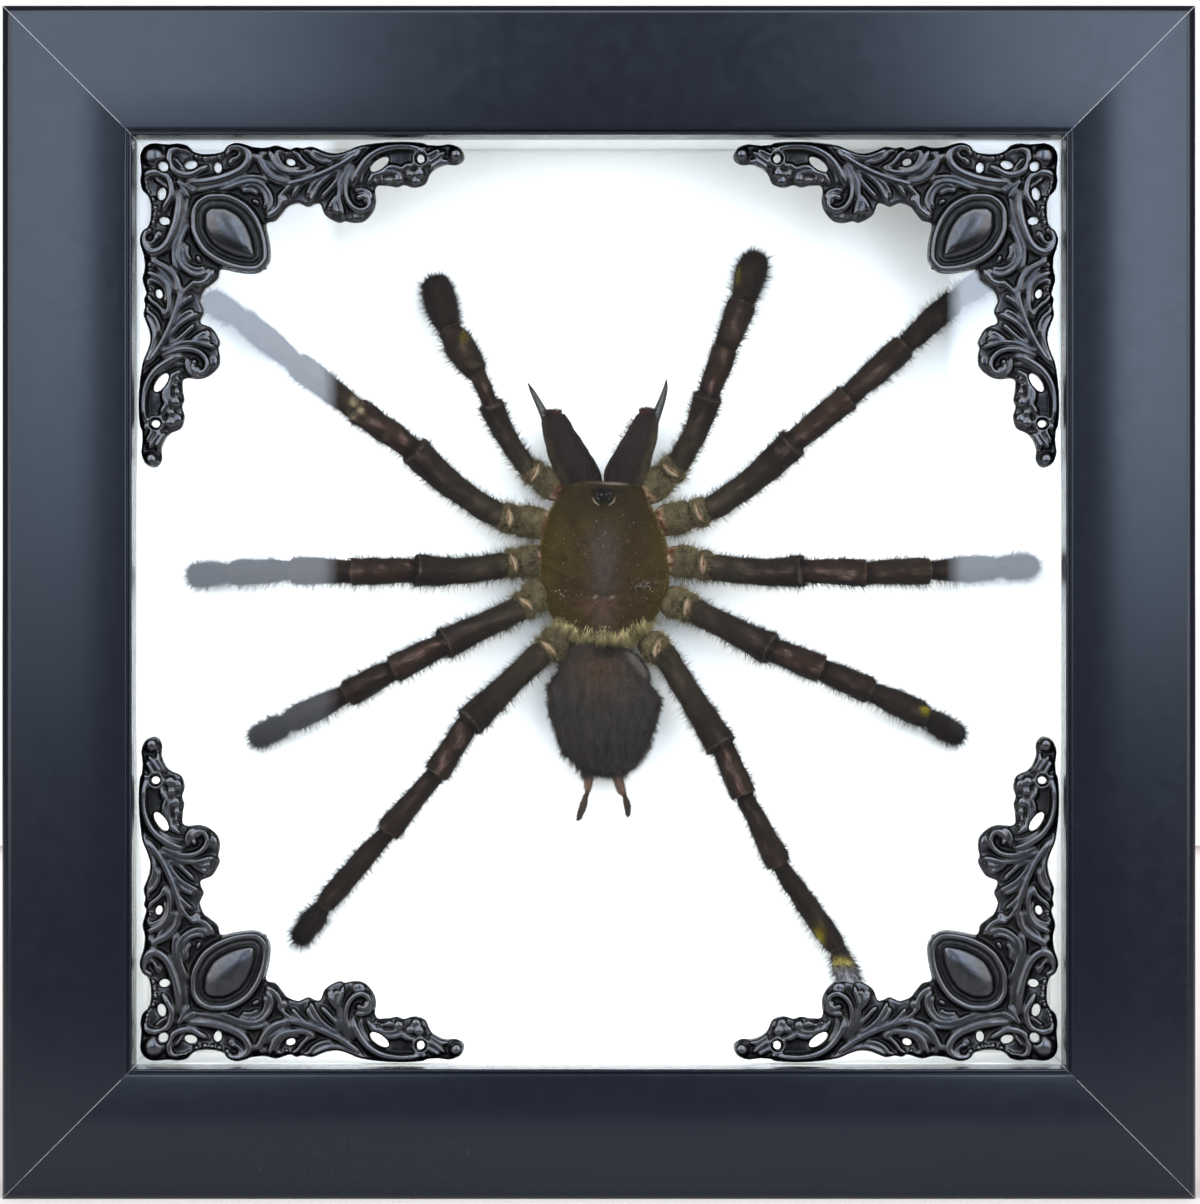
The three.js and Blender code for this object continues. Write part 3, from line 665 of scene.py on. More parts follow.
HALF_EDGE = [
    (2.1, 2.1), (3.2, 1.5), (4.5, 1.4), (6.7, 1.6), (8.3, 1.4), (10.1, 1.8), (11.5, 3.0), (13.7, 3.4),
    (16.5, 3.0), (17.7, 1.8), (19.3, 1.3), (20.9, 1.6), (22.5, 2.1), (24.7, 2.2), (26.5, 1.8), (28.1, 2.2),
    (29.3, 2.5), (30.3, 2.1), (31.6, 2.3), (33.2, 2.0), (34.9, 2.6), (36.4, 3.1), (38.3, 3.2), (40.2, 2.6),
    (41.9, 1.9), (44.1, 1.5), (47.0, 1.2), (50.4, 1.1), (53.6, 1.3), (54.8, 1.7), (56.8, 1.8), (58.9, 1.6),
    (60.8, 2.3), (61.6, 3.8), (61.2, 4.9), (59.9, 5.5), (58.4, 5.4), (56.8, 5.9), (55.3, 7.0), (54.4, 8.9),
    (52.9, 9.6), (51.7, 9.6), (50.4, 9.2), (49.1, 9.6), (47.9, 9.4), (46.8, 9.3), (45.5, 9.3), (45.0, 10.2),
    (45.2, 12.1), (44.7, 14.0), (43.0, 15.9), (41.1, 16.2), (39.4, 15.9), (38.5, 16.2), (37.1, 15.7),
    (35.6, 14.6), (34.8, 12.7), (33.8, 12.7), (32.6, 13.2), (31.3, 12.7), (30.5, 12.5), (28.7, 13.2),
    (27.8, 14.3), (26.5, 15.8), (24.8, 16.4), (25.3, 19.2), (25.3, 21.7), (24.8, 24.8),
]

# Piercings: centre, half length, half width, turn in degrees
PIERCINGS = [
    (10.8, 5.4, 1.15, 0.75, -12), (15.8, 5.9, 0.95, 0.72, 80), (29.35, 4.9, 0.85, 0.6, 20),
    (45.8, 5.3, 2.0, 0.85, -36), (53.45, 4.3, 0.75, 0.65, 80),
]
CORNER_PIERCING = (5.7, 5.7, 0.95, 0.8, 45)

# Raised strokes: half width, height above the hollows, points
STROKES = [
    (0.50, 0.85, [(8.2, 2.3), (7.2, 2.7), (6.8, 4.0), (7.0, 5.4), (7.9, 6.6), (9.4, 7.2), (10.8, 7.2),
                  (12.3, 6.5), (13.8, 5.7)]),
    (0.26, 0.60, [(8.0, 4.2), (8.7, 5.2), (9.8, 6.2), (11.2, 6.4)]),
    (0.62, 1.00, [(17.6, 2.9), (18.3, 2.0), (19.8, 1.9), (21.0, 2.6), (21.6, 3.9), (21.0, 5.4), (19.8, 6.5),
                  (17.9, 7.4), (15.6, 8.1), (13.3, 8.5), (10.4, 8.6)]),
    (0.34, 0.75, [(18.2, 4.3), (19.2, 4.3), (19.9, 3.7), (20.1, 3.0), (19.4, 2.7)]),
    (0.30, 0.55, [(11.2, 9.4), (14.6, 9.1), (17.9, 8.4), (20.2, 7.3), (21.4, 6.4)]),
    (0.36, 0.80, [(11.7, 10.3), (14.6, 9.8), (17.7, 9.0), (20.0, 8.0), (21.9, 7.6), (23.9, 7.8),
                  (25.1, 8.6)]),
    (0.36, 0.85, [(14.9, 10.5), (17.7, 9.8), (20.0, 8.9), (22.1, 8.5), (24.0, 9.0), (25.3, 10.4),
                  (25.9, 12.1), (25.5, 13.5), (24.7, 14.3)]),
    (0.34, 0.75, [(20.0, 9.8), (22.0, 9.2), (23.5, 9.7), (24.5, 11.0), (24.8, 12.5), (24.3, 13.4)]),
    (0.32, 0.70, [(20.3, 10.3), (22.0, 10.2), (23.3, 10.9)]),
    (0.32, 0.70, [(22.3, 12.0), (23.5, 12.6)]),
    (0.42, 0.80, [(27.2, 10.8), (27.4, 12.3), (26.8, 13.8), (24.9, 15.2)]),
    (0.30, 0.75, [(8.3, 8.2), (9.8, 9.3), (11.6, 10.7)]),
    (0.26, 0.65, [(9.9, 8.7), (10.9, 9.5), (11.8, 10.1)]),
    (0.55, 0.80, [(22.6, 3.4), (23.6, 4.4), (24.6, 6.3), (26.2, 7.9), (28.0, 8.5), (29.6, 8.5)]),
    (0.34, 0.70, [(24.2, 4.4), (26.3, 6.3), (29.2, 7.9)]),
    (0.45, 0.85, [(25.4, 2.5), (25.8, 3.8), (26.6, 5.4), (28.0, 6.5), (30.0, 6.9), (32.2, 6.7), (33.9, 5.9)]),
    (0.28, 0.60, [(26.8, 2.5), (27.0, 4.0), (27.9, 5.5), (29.4, 6.0), (31.2, 6.0)]),
    (0.34, 0.75, [(29.6, 3.0), (30.6, 3.4), (31.4, 4.5), (32.5, 5.5), (33.9, 5.9)]),
    (0.34, 0.75, [(31.6, 2.8), (32.6, 2.8), (33.7, 4.1), (35.4, 4.9), (37.1, 4.9)]),
    (0.45, 0.75, [(33.4, 2.4), (35.2, 3.5), (37.1, 4.0), (38.9, 3.5), (40.7, 2.6), (43.0, 2.0)]),
    (0.50, 0.90, [(42.2, 3.0), (40.3, 4.3), (38.0, 5.7), (34.8, 7.2), (31.4, 8.4), (28.0, 9.1)]),
    (0.36, 0.75, [(38.9, 6.1), (36.6, 7.5), (34.8, 9.1), (33.5, 11.2), (33.0, 12.3)]),
    (0.34, 0.75, [(35.7, 7.5), (34.1, 8.6), (33.0, 9.8), (32.4, 11.3)]),
    (0.34, 0.75, [(33.7, 8.0), (32.1, 8.7), (30.7, 9.8), (29.6, 11.2)]),
    (0.34, 0.75, [(31.6, 8.5), (29.8, 9.2), (28.2, 10.3), (27.6, 11.2)]),
    (0.36, 0.75, [(38.7, 6.6), (37.8, 8.4), (36.4, 10.1), (35.0, 11.5)]),
    (0.38, 0.80, [(40.4, 4.6), (39.4, 7.0), (38.5, 9.1), (38.3, 11.4), (38.8, 13.6), (39.1, 15.2)]),
    (0.34, 0.75, [(38.0, 11.1), (37.1, 12.3), (36.4, 13.7)]),
    (0.34, 0.75, [(38.0, 11.6), (37.6, 13.0), (37.9, 14.6)]),
    (0.55, 1.05, [(53.2, 2.4), (51.2, 2.0), (49.2, 1.95), (47.0, 2.3), (45.1, 3.1), (43.4, 4.4), (42.2, 6.0),
                  (41.3, 7.7), (40.9, 9.4)]),
    (0.30, 0.60, [(44.6, 4.9), (43.3, 6.2), (42.6, 7.7), (42.4, 9.3)]),
    (0.42, 0.95, [(41.0, 5.4), (40.2, 7.4), (39.6, 9.4), (39.8, 11.6), (40.8, 13.2), (42.3, 13.9),
                  (43.7, 13.4), (44.0, 12.2), (43.2, 11.3), (41.9, 11.3)]),
    (0.36, 0.70, [(41.2, 10.3), (42.6, 10.1), (44.0, 10.7), (44.5, 12.0)]),
    (0.40, 0.75, [(43.9, 8.2), (45.0, 6.9), (46.8, 6.0), (48.6, 5.9), (49.9, 6.3), (50.8, 5.7), (52.2, 5.5)]),
    (0.34, 0.70, [(43.6, 9.0), (44.5, 7.7), (46.2, 6.9), (48.0, 6.8), (50.0, 7.2)]),
    (0.34, 0.70, [(54.8, 3.7), (56.9, 2.6)]), (0.34, 0.75, [(54.9, 5.2), (58.0, 3.0)]),
    (0.34, 0.75, [(55.2, 6.2), (57.8, 4.4)]), (0.30, 0.65, [(56.9, 5.2), (58.6, 4.8)]),
]

# Round knobs: centre, radius, height above the hollows
KNOBS = [
    (3.9, 3.9, 1.7, 0.9), (8.9, 2.6, 0.36, 0.7), (9.8, 2.7, 0.36, 0.7), (10.6, 3.1, 0.36, 0.7),
    (11.9, 3.8, 0.6, 0.85), (13.5, 4.2, 0.62, 0.75), (14.8, 4.1, 0.5, 0.7), (16.1, 3.8, 0.6, 0.75),
    (17.6, 3.2, 0.62, 0.95), (18.4, 4.9, 0.75, 0.6), (27.5, 2.9, 0.42, 0.7), (28.6, 3.3, 0.42, 0.65),
    (29.8, 2.8, 0.4, 0.7), (42.0, 11.5, 0.6, 0.95), (43.2, 12.2, 0.45, 0.85), (45.2, 8.5, 0.45, 0.8),
    (46.3, 8.1, 0.5, 0.85), (49.4, 8.0, 0.95, 0.75), (51.4, 7.2, 0.85, 0.8), (53.2, 7.0, 1.0, 0.85),
    (52.6, 8.4, 0.9, 0.6), (47.6, 8.3, 0.7, 0.6), (54.1, 2.4, 0.5, 0.8), (60.1, 3.5, 1.25, 1.25),
    (24.0, 3.4, 0.8, 0.55), (28.0, 11.9, 0.9, 0.6), (36.9, 13.6, 0.9, 0.5), (42.0, 14.9, 1.1, 0.45),
]
RING_PIERCING = (53.45, 4.3, 1.35, 0.30, 0.75)  # centre, radius, half width, height of a rim around it

# Half widths of the plate under the drop, at distances along the diagonal
DROP_EDGE = [(16.6, 0.0), (17.1, 2.0), (18.4, 3.7), (20.5, 5.4), (23.8, 6.4), (26.4, 6.3), (28.6, 5.7),
             (31.0, 4.6), (33.2, 3.0), (34.5, 1.5), (34.8, 0.0)]
# Height over the back of the casting at distances in from the plate's edge, up to the drop's own edge
DROP_STEPS = [(0.0, 1.3), (0.35, 2.05), (0.85, 2.3), (1.4, 2.05), (1.7, 1.65), (1.95, 1.65), (2.2, 1.95),
              (2.45, 1.95), (2.7, 1.55)]
DROP_INSET = 2.7
DROP_TOP = 3.25
DROP_REACH = 3.7
DOME_START, DOME_BLEND = 0.3, 1.5  # how far in from the drop's edge its smoothing starts and grows


def ellipse(along, down, half_length, half_width, turn, count=28):
    angle = np.linspace(0, 2 * math.pi, count, endpoint=False)
    lean = math.radians(turn)
    x, y = half_length * np.cos(angle), half_width * np.sin(angle)
    return np.stack([along + x * math.cos(lean) - y * math.sin(lean),
                     down + x * math.sin(lean) + y * math.cos(lean)], 1)


def nearest(points, line, closed=True):
    """Distance to a polyline, the nearest point on it, and how far along it that lies from 0 to 1"""
    start = line if closed else line[:-1]
    end = np.roll(line, -1, 0) if closed else line[1:]
    best = np.full(len(points), np.inf)
    touch = np.zeros((len(points), 2))
    along = np.zeros(len(points))
    for index in range(len(start)):
        run = end[index] - start[index]
        share = np.clip((points - start[index]) @ run / max(run @ run, 1e-12), 0, 1)
        foot = start[index] + share[:, None] * run
        distance = np.hypot(*(points - foot).T)
        closer = distance < best
        best[closer] = distance[closer]
        touch[closer] = foot[closer]
        along[closer] = (index + share[closer]) / len(start)
    return best, touch, along


def inside(points, loop):
    """Whether points lie inside a closed loop"""
    found = np.zeros(len(points), bool)
    following = np.roll(loop, -1, 0)
    for (x1, y1), (x2, y2) in zip(loop, following):
        if y1 == y2:
            continue
        spans = (points[:, 1] > y1) != (points[:, 1] > y2)
        found ^= spans & (points[:, 0] < (x2 - x1) * (points[:, 1] - y1) / (y2 - y1) + x1)
    return found


def flipped(loop):
    return loop[:, ::-1]


TAPER_SHARE = 0.12  # the share of a stroke over which each end narrows
TAPER_LEAST = 0.55  # how narrow the end is


def dome(across):
    """Height of a round ridge from 1 at its crest to 0 where across is 1"""
    return np.sqrt(np.clip(1 - across ** 2, 0, 1))


def box_around(points, line, margin):
    """The points within a margin of a line's bounding box"""
    low, high = line.min(0) - margin, line.max(0) + margin
    return np.flatnonzero(((points > low) & (points < high)).all(1))


def add_stroke(height, points, stroke):
    half_width, rise, line = stroke
    half_width = half_width * STROKE_FULLNESS
    line = smooth_curve(line, 7) if len(line) > 2 else np.asarray(line, float)
    near = box_around(points, line, half_width)
    distance, _, along = nearest(points[near], line, closed=False)
    end_share = np.clip(np.minimum(along, 1 - along) / TAPER_SHARE, 0, 1)
    taper = end_share ** 0.5 * (1 - TAPER_LEAST) + TAPER_LEAST
    ridge = rise * taper * dome(distance / (half_width * taper))
    height[near] = np.maximum(height[near], HOLLOW_HEIGHT + ridge)


def add_knob(height, points, knob):
    along, down, radius, rise = knob
    radius = radius * KNOB_FULLNESS
    across = np.hypot(points[:, 0] - along, points[:, 1] - down) / radius
    near = across < 1
    raised = HOLLOW_HEIGHT + rise * np.sqrt(1 - across[near] ** 2)
    height[near] = np.maximum(height[near], raised)


def add_drop(height, points, edge):
    """Raises the drop and its plate, and gives back how far in from the plate's edge each point lies"""
    covered = inside(points, edge)
    depths, _, _ = nearest(points, edge)
    depth = depths[covered]
    steps = np.array(DROP_STEPS)
    plate = np.interp(depth, steps[:, 0], steps[:, 1])
    inward = np.clip((depth - DROP_INSET) / DROP_REACH, 0, 1)
    dome = steps[-1, 1] + (DROP_TOP - steps[-1, 1]) * np.sqrt(1 - (1 - inward) ** 2.2)
    height[covered] = np.where(depth > DROP_INSET, dome, plate)
    return depths


def box_blur(field, reach):
    """Mean over a square window, twice"""
    for _ in range(2):
        for axis in (0, 1):
            total = np.cumsum(np.pad(field, [(reach + 1, reach) if a == axis else (0, 0) for a in (0, 1)],
                                     mode="edge"), axis)
            span = 2 * reach + 1
            ahead = np.take(total, range(span, total.shape[axis]), axis)
            behind = np.take(total, range(0, total.shape[axis] - span), axis)
            field = (ahead - behind) / span
    return field


def casting_edges():
    """The casting's outer edge, the edge of the drop's plate, and the piercings"""
    half = smooth_curve(HALF_EDGE, 4)
    outer = np.vstack([half, flipped(half[1:-1])[::-1]])
    drop_half = smooth_curve(DROP_EDGE, 6)
    out, side = drop_half[:, 0], drop_half[:, 1]
    drop = np.stack([np.concatenate([out + side, (out - side)[-2:0:-1]]),
                     np.concatenate([out - side, (out + side)[-2:0:-1]])], 1) * math.sqrt(0.5)
    holes = [ellipse(*piercing) for piercing in PIERCINGS]
    holes += [flipped(hole) for hole in holes] + [ellipse(*CORNER_PIERCING)]
    return outer, drop, holes


def nearest_edge(points, outer, drop, holes):
    """Distance to the nearest edge that shows, and the point on it"""
    border = np.full(len(points), np.inf)
    touch = np.zeros((len(points), 2))
    for loop, clear_of in [(outer, drop), (drop, outer)] + [(hole, None) for hole in holes]:
        near = box_around(points, loop, EDGE_REACH)
        distance, foot, _ = nearest(points[near], loop)
        if clear_of is not None:
            distance[inside(foot, clear_of)] = np.inf
        closer = distance < border[near]
        border[near[closer]] = distance[closer]
        touch[near[closer]] = foot[closer]
    return border, touch


def casting_height(points, border, drop):
    """Height over the casting's back, and how far in from the edge of the drop's plate each point lies"""
    height = np.full(len(points), HOLLOW_HEIGHT)
    for stroke in STROKES:
        add_stroke(height, points, stroke)
    for knob in KNOBS:
        add_knob(height, points, knob)
    ring_along, ring_down, radius, half_width, rise = RING_PIERCING
    across = abs(np.hypot(points[:, 0] - ring_along, points[:, 1] - ring_down) - radius) / half_width
    height = np.maximum(height, np.where(across < 1, HOLLOW_HEIGHT + rise * dome(across), 0))
    drop_depth = add_drop(height, points, drop)
    rounding = np.clip(border / EDGE_ROUND, 0, 1)
    return EDGE_HEIGHT + (height - EDGE_HEIGHT) * np.sqrt(1 - (1 - rounding) ** 2), drop_depth


def whole(values, upper, flip=False):
    """Fills a square field from the values of its upper half"""
    field = np.zeros(upper.shape + values.shape[1:], values.dtype)
    field[upper] = values
    swapped = np.swapaxes(field, 0, 1)
    if flip:
        swapped = swapped[..., ::-1]
    field[~upper] = swapped[~upper]
    return field


def smoothed(height, upper, drop_depth, within_drop):
    """The height field a little blurred, and more so on the drop's dome"""
    field = whole(height, upper)
    field = (field + box_blur(field, 1)) / 2
    on_dome = np.clip((drop_depth - DROP_INSET - DOME_START) / DOME_BLEND, 0, 1)
    field += (box_blur(field, 5) - field) * whole(np.where(within_drop, on_dome, 0), upper)
    return field


def kept_cells(filled):
    """The cells of a grid with a filled corner: numbers of the points used, and faces between them"""
    kept = filled[:-1, :-1] | filled[1:, :-1] | filled[:-1, 1:] | filled[1:, 1:]
    index = np.arange(filled.size).reshape(filled.shape)
    corners = [index[:-1, :-1], index[:-1, 1:], index[1:, 1:], index[1:, :-1]]
    used, faces = np.unique(np.stack([corner[kept] for corner in corners], 1), return_inverse=True)
    return used, faces.reshape(-1, 4)


def rim_of(faces):
    """The edges that only one face has"""
    edges = np.concatenate([faces[:, [start, (start + 1) % 4]] for start in range(4)])
    _, first, counts = np.unique(np.sort(edges, 1), axis=0, return_index=True, return_counts=True)
    return edges[first[counts == 1]]


def loops_of(edges):
    """The closed loops that edges run through"""
    following = {}
    for start, end in edges:
        following.setdefault(start, []).append(end)
    loops = []
    while following:
        loop, at = [], next(iter(following))
        while at in following:
            loop.append(at)
            ahead = following[at].pop()
            if not following[at]:
                del following[at]
            at = ahead
        loops.append(loop)
    return loops


def close_back(top, faces):
    """All points, and the walls and flat back that close a face on its underside"""
    rim = rim_of(faces)
    rim_points = np.unique(rim)
    below = {point: len(top) + number for number, point in enumerate(rim_points)}
    foot = top[rim_points] * (1, 1, 0)
    walls = np.array([(start, end, below[end], below[start]) for start, end in rim])[:, ::-1]
    loops = loops_of(rim)
    lines = [[Vector((*top[point][:2], 0)) for point in loop] for loop in loops]
    around = np.array([below[point] for loop in loops for point in loop])
    back = around[np.array(geometry.tessellate_polygon(lines))]
    points = np.vstack([top, foot])
    return points, walls, upturned(points[:, :2], back, least=1e-9)


def casting_mesh():
    """Points (along, down, height), faces and relief of one casting"""
    outer, drop, holes = casting_edges()
    axis = GRID_START + CELL * np.arange(int(GRID_LENGTH / CELL))
    along, down = np.meshgrid(axis, axis, indexing="ij")
    upper = along >= down - 1e-9
    points = np.stack([along[upper], down[upper]], 1)
    within_drop = inside(points, drop)
    within = inside(points, outer) | within_drop
    for hole in holes:
        within &= ~inside(points, hole)
    border, touch = nearest_edge(points, outer, drop, holes)
    height, drop_depth = casting_height(points, border, drop)
    field = smoothed(height, upper, drop_depth, within_drop)
    filled = whole(within, upper)
    tops = np.where(filled, field, EDGE_HEIGHT)
    relief = field - box_blur(tops, int(RELIEF_REACH / CELL))
    flat = np.where(filled[..., None], np.stack([along, down], -1), whole(touch, upper, flip=True))
    used, faces = kept_cells(filled)
    top = np.concatenate([flat.reshape(-1, 2)[used], tops.ravel()[used][:, None]], 1)
    points, walls, back = close_back(top, faces)
    relief = np.concatenate([relief.ravel()[used], np.full(len(points) - len(top), FOOT_RELIEF)])
    return points, faces, walls, back, relief


def add_ornaments():
    points, faces, walls, back, relief = casting_mesh()
    x = -ORNAMENT_CORNER + points[:, 0]
    z = ORNAMENT_CORNER - points[:, 1]
    y = ORNAMENT_BACK - points[:, 2]
    placed = np.stack([x, y, z], 1)
    # shade from relief: dark in the hollows, partly antique black and partly painted shade
    shade = np.clip(0.5 + relief * 0.9, 0, 1)
    for turn, corner in enumerate(("top_left", "top_right", "bottom_right", "bottom_left")):
        casting = place(f"ornament_{corner}", turned(placed, turn), [faces, walls, back], [METAL],
                        {"relief": shade})
        ride(casting, "ornament_metal", f"corner_ornament_{corner}")


# ---------------------------------------------------------------- the spider

class Sculpt:
    """Collects the surfaces and hairs of one piece before it is made into a mesh"""

    KEYS = ("reddish", "olive", "dark", "pale", "membrane", "peach", "stain", "painted_glare", "middle",
            "pink", "brown", "rim", "grain_x", "grain_y", "grain_z", "shade", "warm", "tip")

    def __init__(self):
        self.points, self.faces, self.slots = [], [], []
        self.values = {key: [] for key in self.KEYS}
        self.count = 0

    def add(self, points, faces, slot=0, **values):
        points = np.asarray(points).reshape(-1, 3)
        for group in faces:
            self.faces.append(np.asarray(group) + self.count)
            self.slots.append(np.full(len(group), slot))
        for key in self.KEYS:
            value = np.asarray(values.get(key, 0.0), float)
            self.values[key].append(np.broadcast_to(value.reshape(-1), len(points)))
        self.points.append(points)
        self.count += len(points)

    def add_grid(self, grid, slot=0, grain=(), **shares):
        """Adds a closed grid, with shares from 0 to 1 and places in mm for noise that is drawn out"""
        shape = grid.shape[:2]
        values = {key: np.clip(np.broadcast_to(share, shape), 0, 1) for key, share in shares.items()}
        for axis, field in zip("xyz", grain):
            values["grain_" + axis] = np.broadcast_to(field, shape)
        self.add(grid, closed_faces(*shape), slot, **values)

    def place(self, name, materials):
        values = {key: np.concatenate(parts) for key, parts in self.values.items()}
        values = {key: value for key, value in values.items() if value.any()}
        slots = np.concatenate(self.slots)
        return place(name, np.vstack(self.points), self.faces, materials, values, slots)


def station_frames(centres):
    """For each point of a middle line: the direction across it and the direction out of the board"""
    ahead = np.vstack([centres[1:], centres[-1:]])
    behind = np.vstack([centres[:1], centres[:-1]])
    along = unit(ahead - behind)
    across = unit(np.cross(np.array([0.0, -1.0, 0.0]), along))
    return across, np.cross(along, across)


def swept(centres, wide, thick, sides, power=2.0):
    """Grid of points around a middle line. A power over 2 makes the section squarer."""
    across, out = station_frames(centres)
    angle = np.linspace(0, 2 * math.pi, sides, endpoint=False)
    cos, sin = np.cos(angle), np.sin(angle)
    sideways = np.sign(cos) * abs(cos) ** (2 / power)
    outwards = np.sign(sin) * abs(sin) ** (2 / power)
    return (centres[:, None] + across[:, None] * (wide[:, None] * sideways)[..., None]
            + out[:, None] * (thick[:, None] * outwards)[..., None]), angle


def grid_normals(grid):
    around = np.roll(grid, -1, 1) - np.roll(grid, 1, 1)
    along = np.empty_like(grid)
    along[1:-1] = grid[2:] - grid[:-2]
    along[0], along[-1] = grid[1] - grid[0], grid[-1] - grid[-2]
    return unit(np.cross(around, along)), unit(along)


def pushed_out(grid, height):
    """Moves the points of a grid outwards by a height in mm"""
    normals, _ = grid_normals(grid)
    return grid + normals * height[..., None]


def closed_faces(rows, columns):
    """Quads of a closed grid, with the first and last rows closed by fans around their first points"""
    fan = np.array([(0, column + 1, column) for column in range(1, columns - 1)])
    return [grid_faces(rows, columns, True), fan, fan[:, ::-1] + (rows - 1) * columns]


def scatter(grid, weight, count):
    """Random places on a closed grid: positions, outward and along directions, row and column"""
    normals, flows = grid_normals(grid)
    weight = np.broadcast_to(weight, grid.shape[:2])
    following = np.roll(grid, -1, 1)
    step = np.linalg.norm(grid[1:] - grid[:-1], axis=-1)
    width = np.linalg.norm(following - grid, axis=-1)
    area = step * (width[1:] + width[:-1]) / 2 * weight[1:]
    chosen = rng.choice(area.size, count, p=(area / area.sum()).ravel())
    row, column = np.unravel_index(chosen, area.shape)
    down, right = rng.random(count)[:, None], rng.random(count)[:, None]
    beside = (column + 1) % grid.shape[1]

    def blend(field):
        upper = field[row, column] * (1 - right) + field[row, beside] * right
        lower = field[row + 1, column] * (1 - right) + field[row + 1, beside] * right
        return upper * (1 - down) + lower * down

    return blend(grid), unit(blend(normals)), unit(blend(flows)), row, column


def jitter(roots, spread):
    return rng.normal(size=roots.shape) * spread


def leaning(roots, scale, seed):
    """Smooth noise in all three directions, so that neighbouring hairs lean together"""
    return np.stack([wobble(roots, scale, seed + step) for step in range(3)], -1)


REARWARD = np.array([0.0, 0.0, -1.0])
NEVER = 1e-6  # the weight of a place where hardly a hair grows
HAIR_FOOT = 0.08  # how deep a hair stands in the skin


def add_hairs(sculpt, roots, directions, lengths, thickness, slot, droop=None, warm=0.0, shade=None):
    """Three-sided hairs, each embedded by its root. With droop they bend over towards that direction."""
    count = len(roots)
    if count == 0:
        return
    directions = unit(directions)
    lengths = np.broadcast_to(lengths, count)[:, None]
    side = unit(np.cross(directions, rng.normal(size=(count, 3))))
    other = np.cross(directions, side)
    if shade is None:
        shade = rng.random(count)
    start = roots - directions * HAIR_FOOT
    corner_angle = np.arange(3) * 2 * math.pi / 3
    ring = (side[:, None] * np.cos(corner_angle)[None, :, None]
            + other[:, None] * np.sin(corner_angle)[None, :, None]) * thickness / 2
    base = start[:, None] + ring
    if droop is None:
        tip = start + directions * lengths
        points = np.concatenate([base, tip[:, None]], 1)
        per_hair = 4
        pattern = [[(0, 1, 3), (1, 2, 3), (2, 0, 3)]]
        tips = [0, 0, 0, 1]
    else:
        bend = unit(directions + droop)
        knee = start + directions * lengths * 0.5
        tip = knee + bend * lengths * 0.5
        points = np.concatenate([base, knee[:, None] + ring * 0.7, tip[:, None]], 1)
        per_hair = 7
        pattern = [[(0, 1, 4, 3), (1, 2, 5, 4), (2, 0, 3, 5)], [(3, 4, 6), (4, 5, 6), (5, 3, 6)]]
        tips = [0, 0, 0, 0.5, 0.5, 0.5, 1]
    offsets = np.arange(count)[:, None, None] * per_hair
    faces = [(np.array(group)[None] + offsets).reshape(-1, len(group[0])) for group in pattern]
    sculpt.add(points, faces, slot, shade=np.repeat(shade, per_hair), tip=np.tile(tips, count),
               warm=np.repeat(np.broadcast_to(warm, count), per_hair))


# Limbs: kind, how far the femur bows, and the joints (x, z)
LIMBS = {
    "leg_1_left": ("leg", 0.9, [(-10.2, 14.6), (-18.7, 16.1), (-35.0, 28.8), (-45.6, 36.2),
        (-57.2, 45.1), (-68.0, 53.9), (-74.9, 57.8)]),
    "leg_2_left": ("leg", 0.6, [(-11.2, 8.0), (-17.6, 7.05), (-34.6, 5.95), (-46.7, 5.75),
        (-57.9, 5.9), (-70.4, 5.6), (-78.0, 5.0)]),
    "leg_3_left": ("leg", 0.0, [(-10.2, 2.3), (-14.9, -1.3), (-29.4, -8.0), (-38.8, -12.8),
        (-47.5, -17.3), (-59.0, -22.8), (-66.0, -26.4)]),
    "leg_4_left": ("hind_leg", 0.0, [(-7.4, -7.1), (-10.6, -9.4), (-24.7, -22.9), (-30.7, -32.3),
        (-39.9, -43.3), (-52.4, -57.8), (-57.5, -64.8)]),
    "leg_1_right": ("leg", 0.8, [(12.1, 15.2), (20.6, 17.3), (36.7, 30.2), (46.9, 38.6),
        (57.6, 48.3), (67.6, 57.4), (75.3, 62.8)]),
    "leg_2_right": ("leg", 0.6, [(13.8, 8.0), (21.2, 6.7), (38.6, 5.85), (50.3, 5.5),
        (62.4, 5.9), (75.4, 6.5), (83.4, 6.95)]),
    "leg_3_right": ("leg", 0.0, [(13.4, 0.4), (17.8, -1.5), (32.6, -9.0), (42.0, -12.7),
        (50.9, -16.7), (62.3, -21.8), (69.1, -26.1)]),
    "leg_4_right": ("hind_leg", 0.0, [(9.7, -8.1), (12.1, -9.4), (23.2, -27.4), (27.3, -36.4),
        (34.0, -49.5), (45.3, -65.8), (48.2, -73.8)]),
    "palp_left": ("left_palp", 0.7, [(-8.1, 21.3), (-13.3, 25.2), (-20.4, 37.5), (-22.9, 43.1),
        (-28.5, 51.6), (-31.4, 61.6)]),
    "palp_right": ("palp", 0.6, [(9.3, 20.9), (14.8, 25.9), (20.6, 39.0), (23.8, 47.7),
        (27.0, 56.2), (30.0, 66.2)]),
}

# Width along each kind of segment: (share of its length, share of its half width)
COXA = [(0, 1.12), (0.2, 1.18), (0.45, 1.16), (0.58, 1.05), (0.63, 0.86), (0.68, 1.02), (0.82, 1.12),
        (0.95, 1.04), (1.0, 0.88)]
FEMUR = [(0.0, 0.80), (0.05, 0.86), (0.2, 0.87), (0.45, 0.88), (0.7, 0.97), (0.88, 1.05), (0.965, 1.08),
         (0.985, 1.07), (1.0, 0.82)]
PATELLA = [(0.0, 0.80), (0.04, 0.86), (0.3, 0.93), (0.7, 0.99), (0.9, 1.02), (0.965, 1.03), (0.985, 1.01),
           (1.0, 0.84)]
TIBIA = [(0.0, 0.80), (0.04, 0.85), (0.3, 0.96), (0.7, 1.04), (0.9, 1.05), (0.965, 1.06), (0.985, 1.04),
         (1.0, 0.82)]
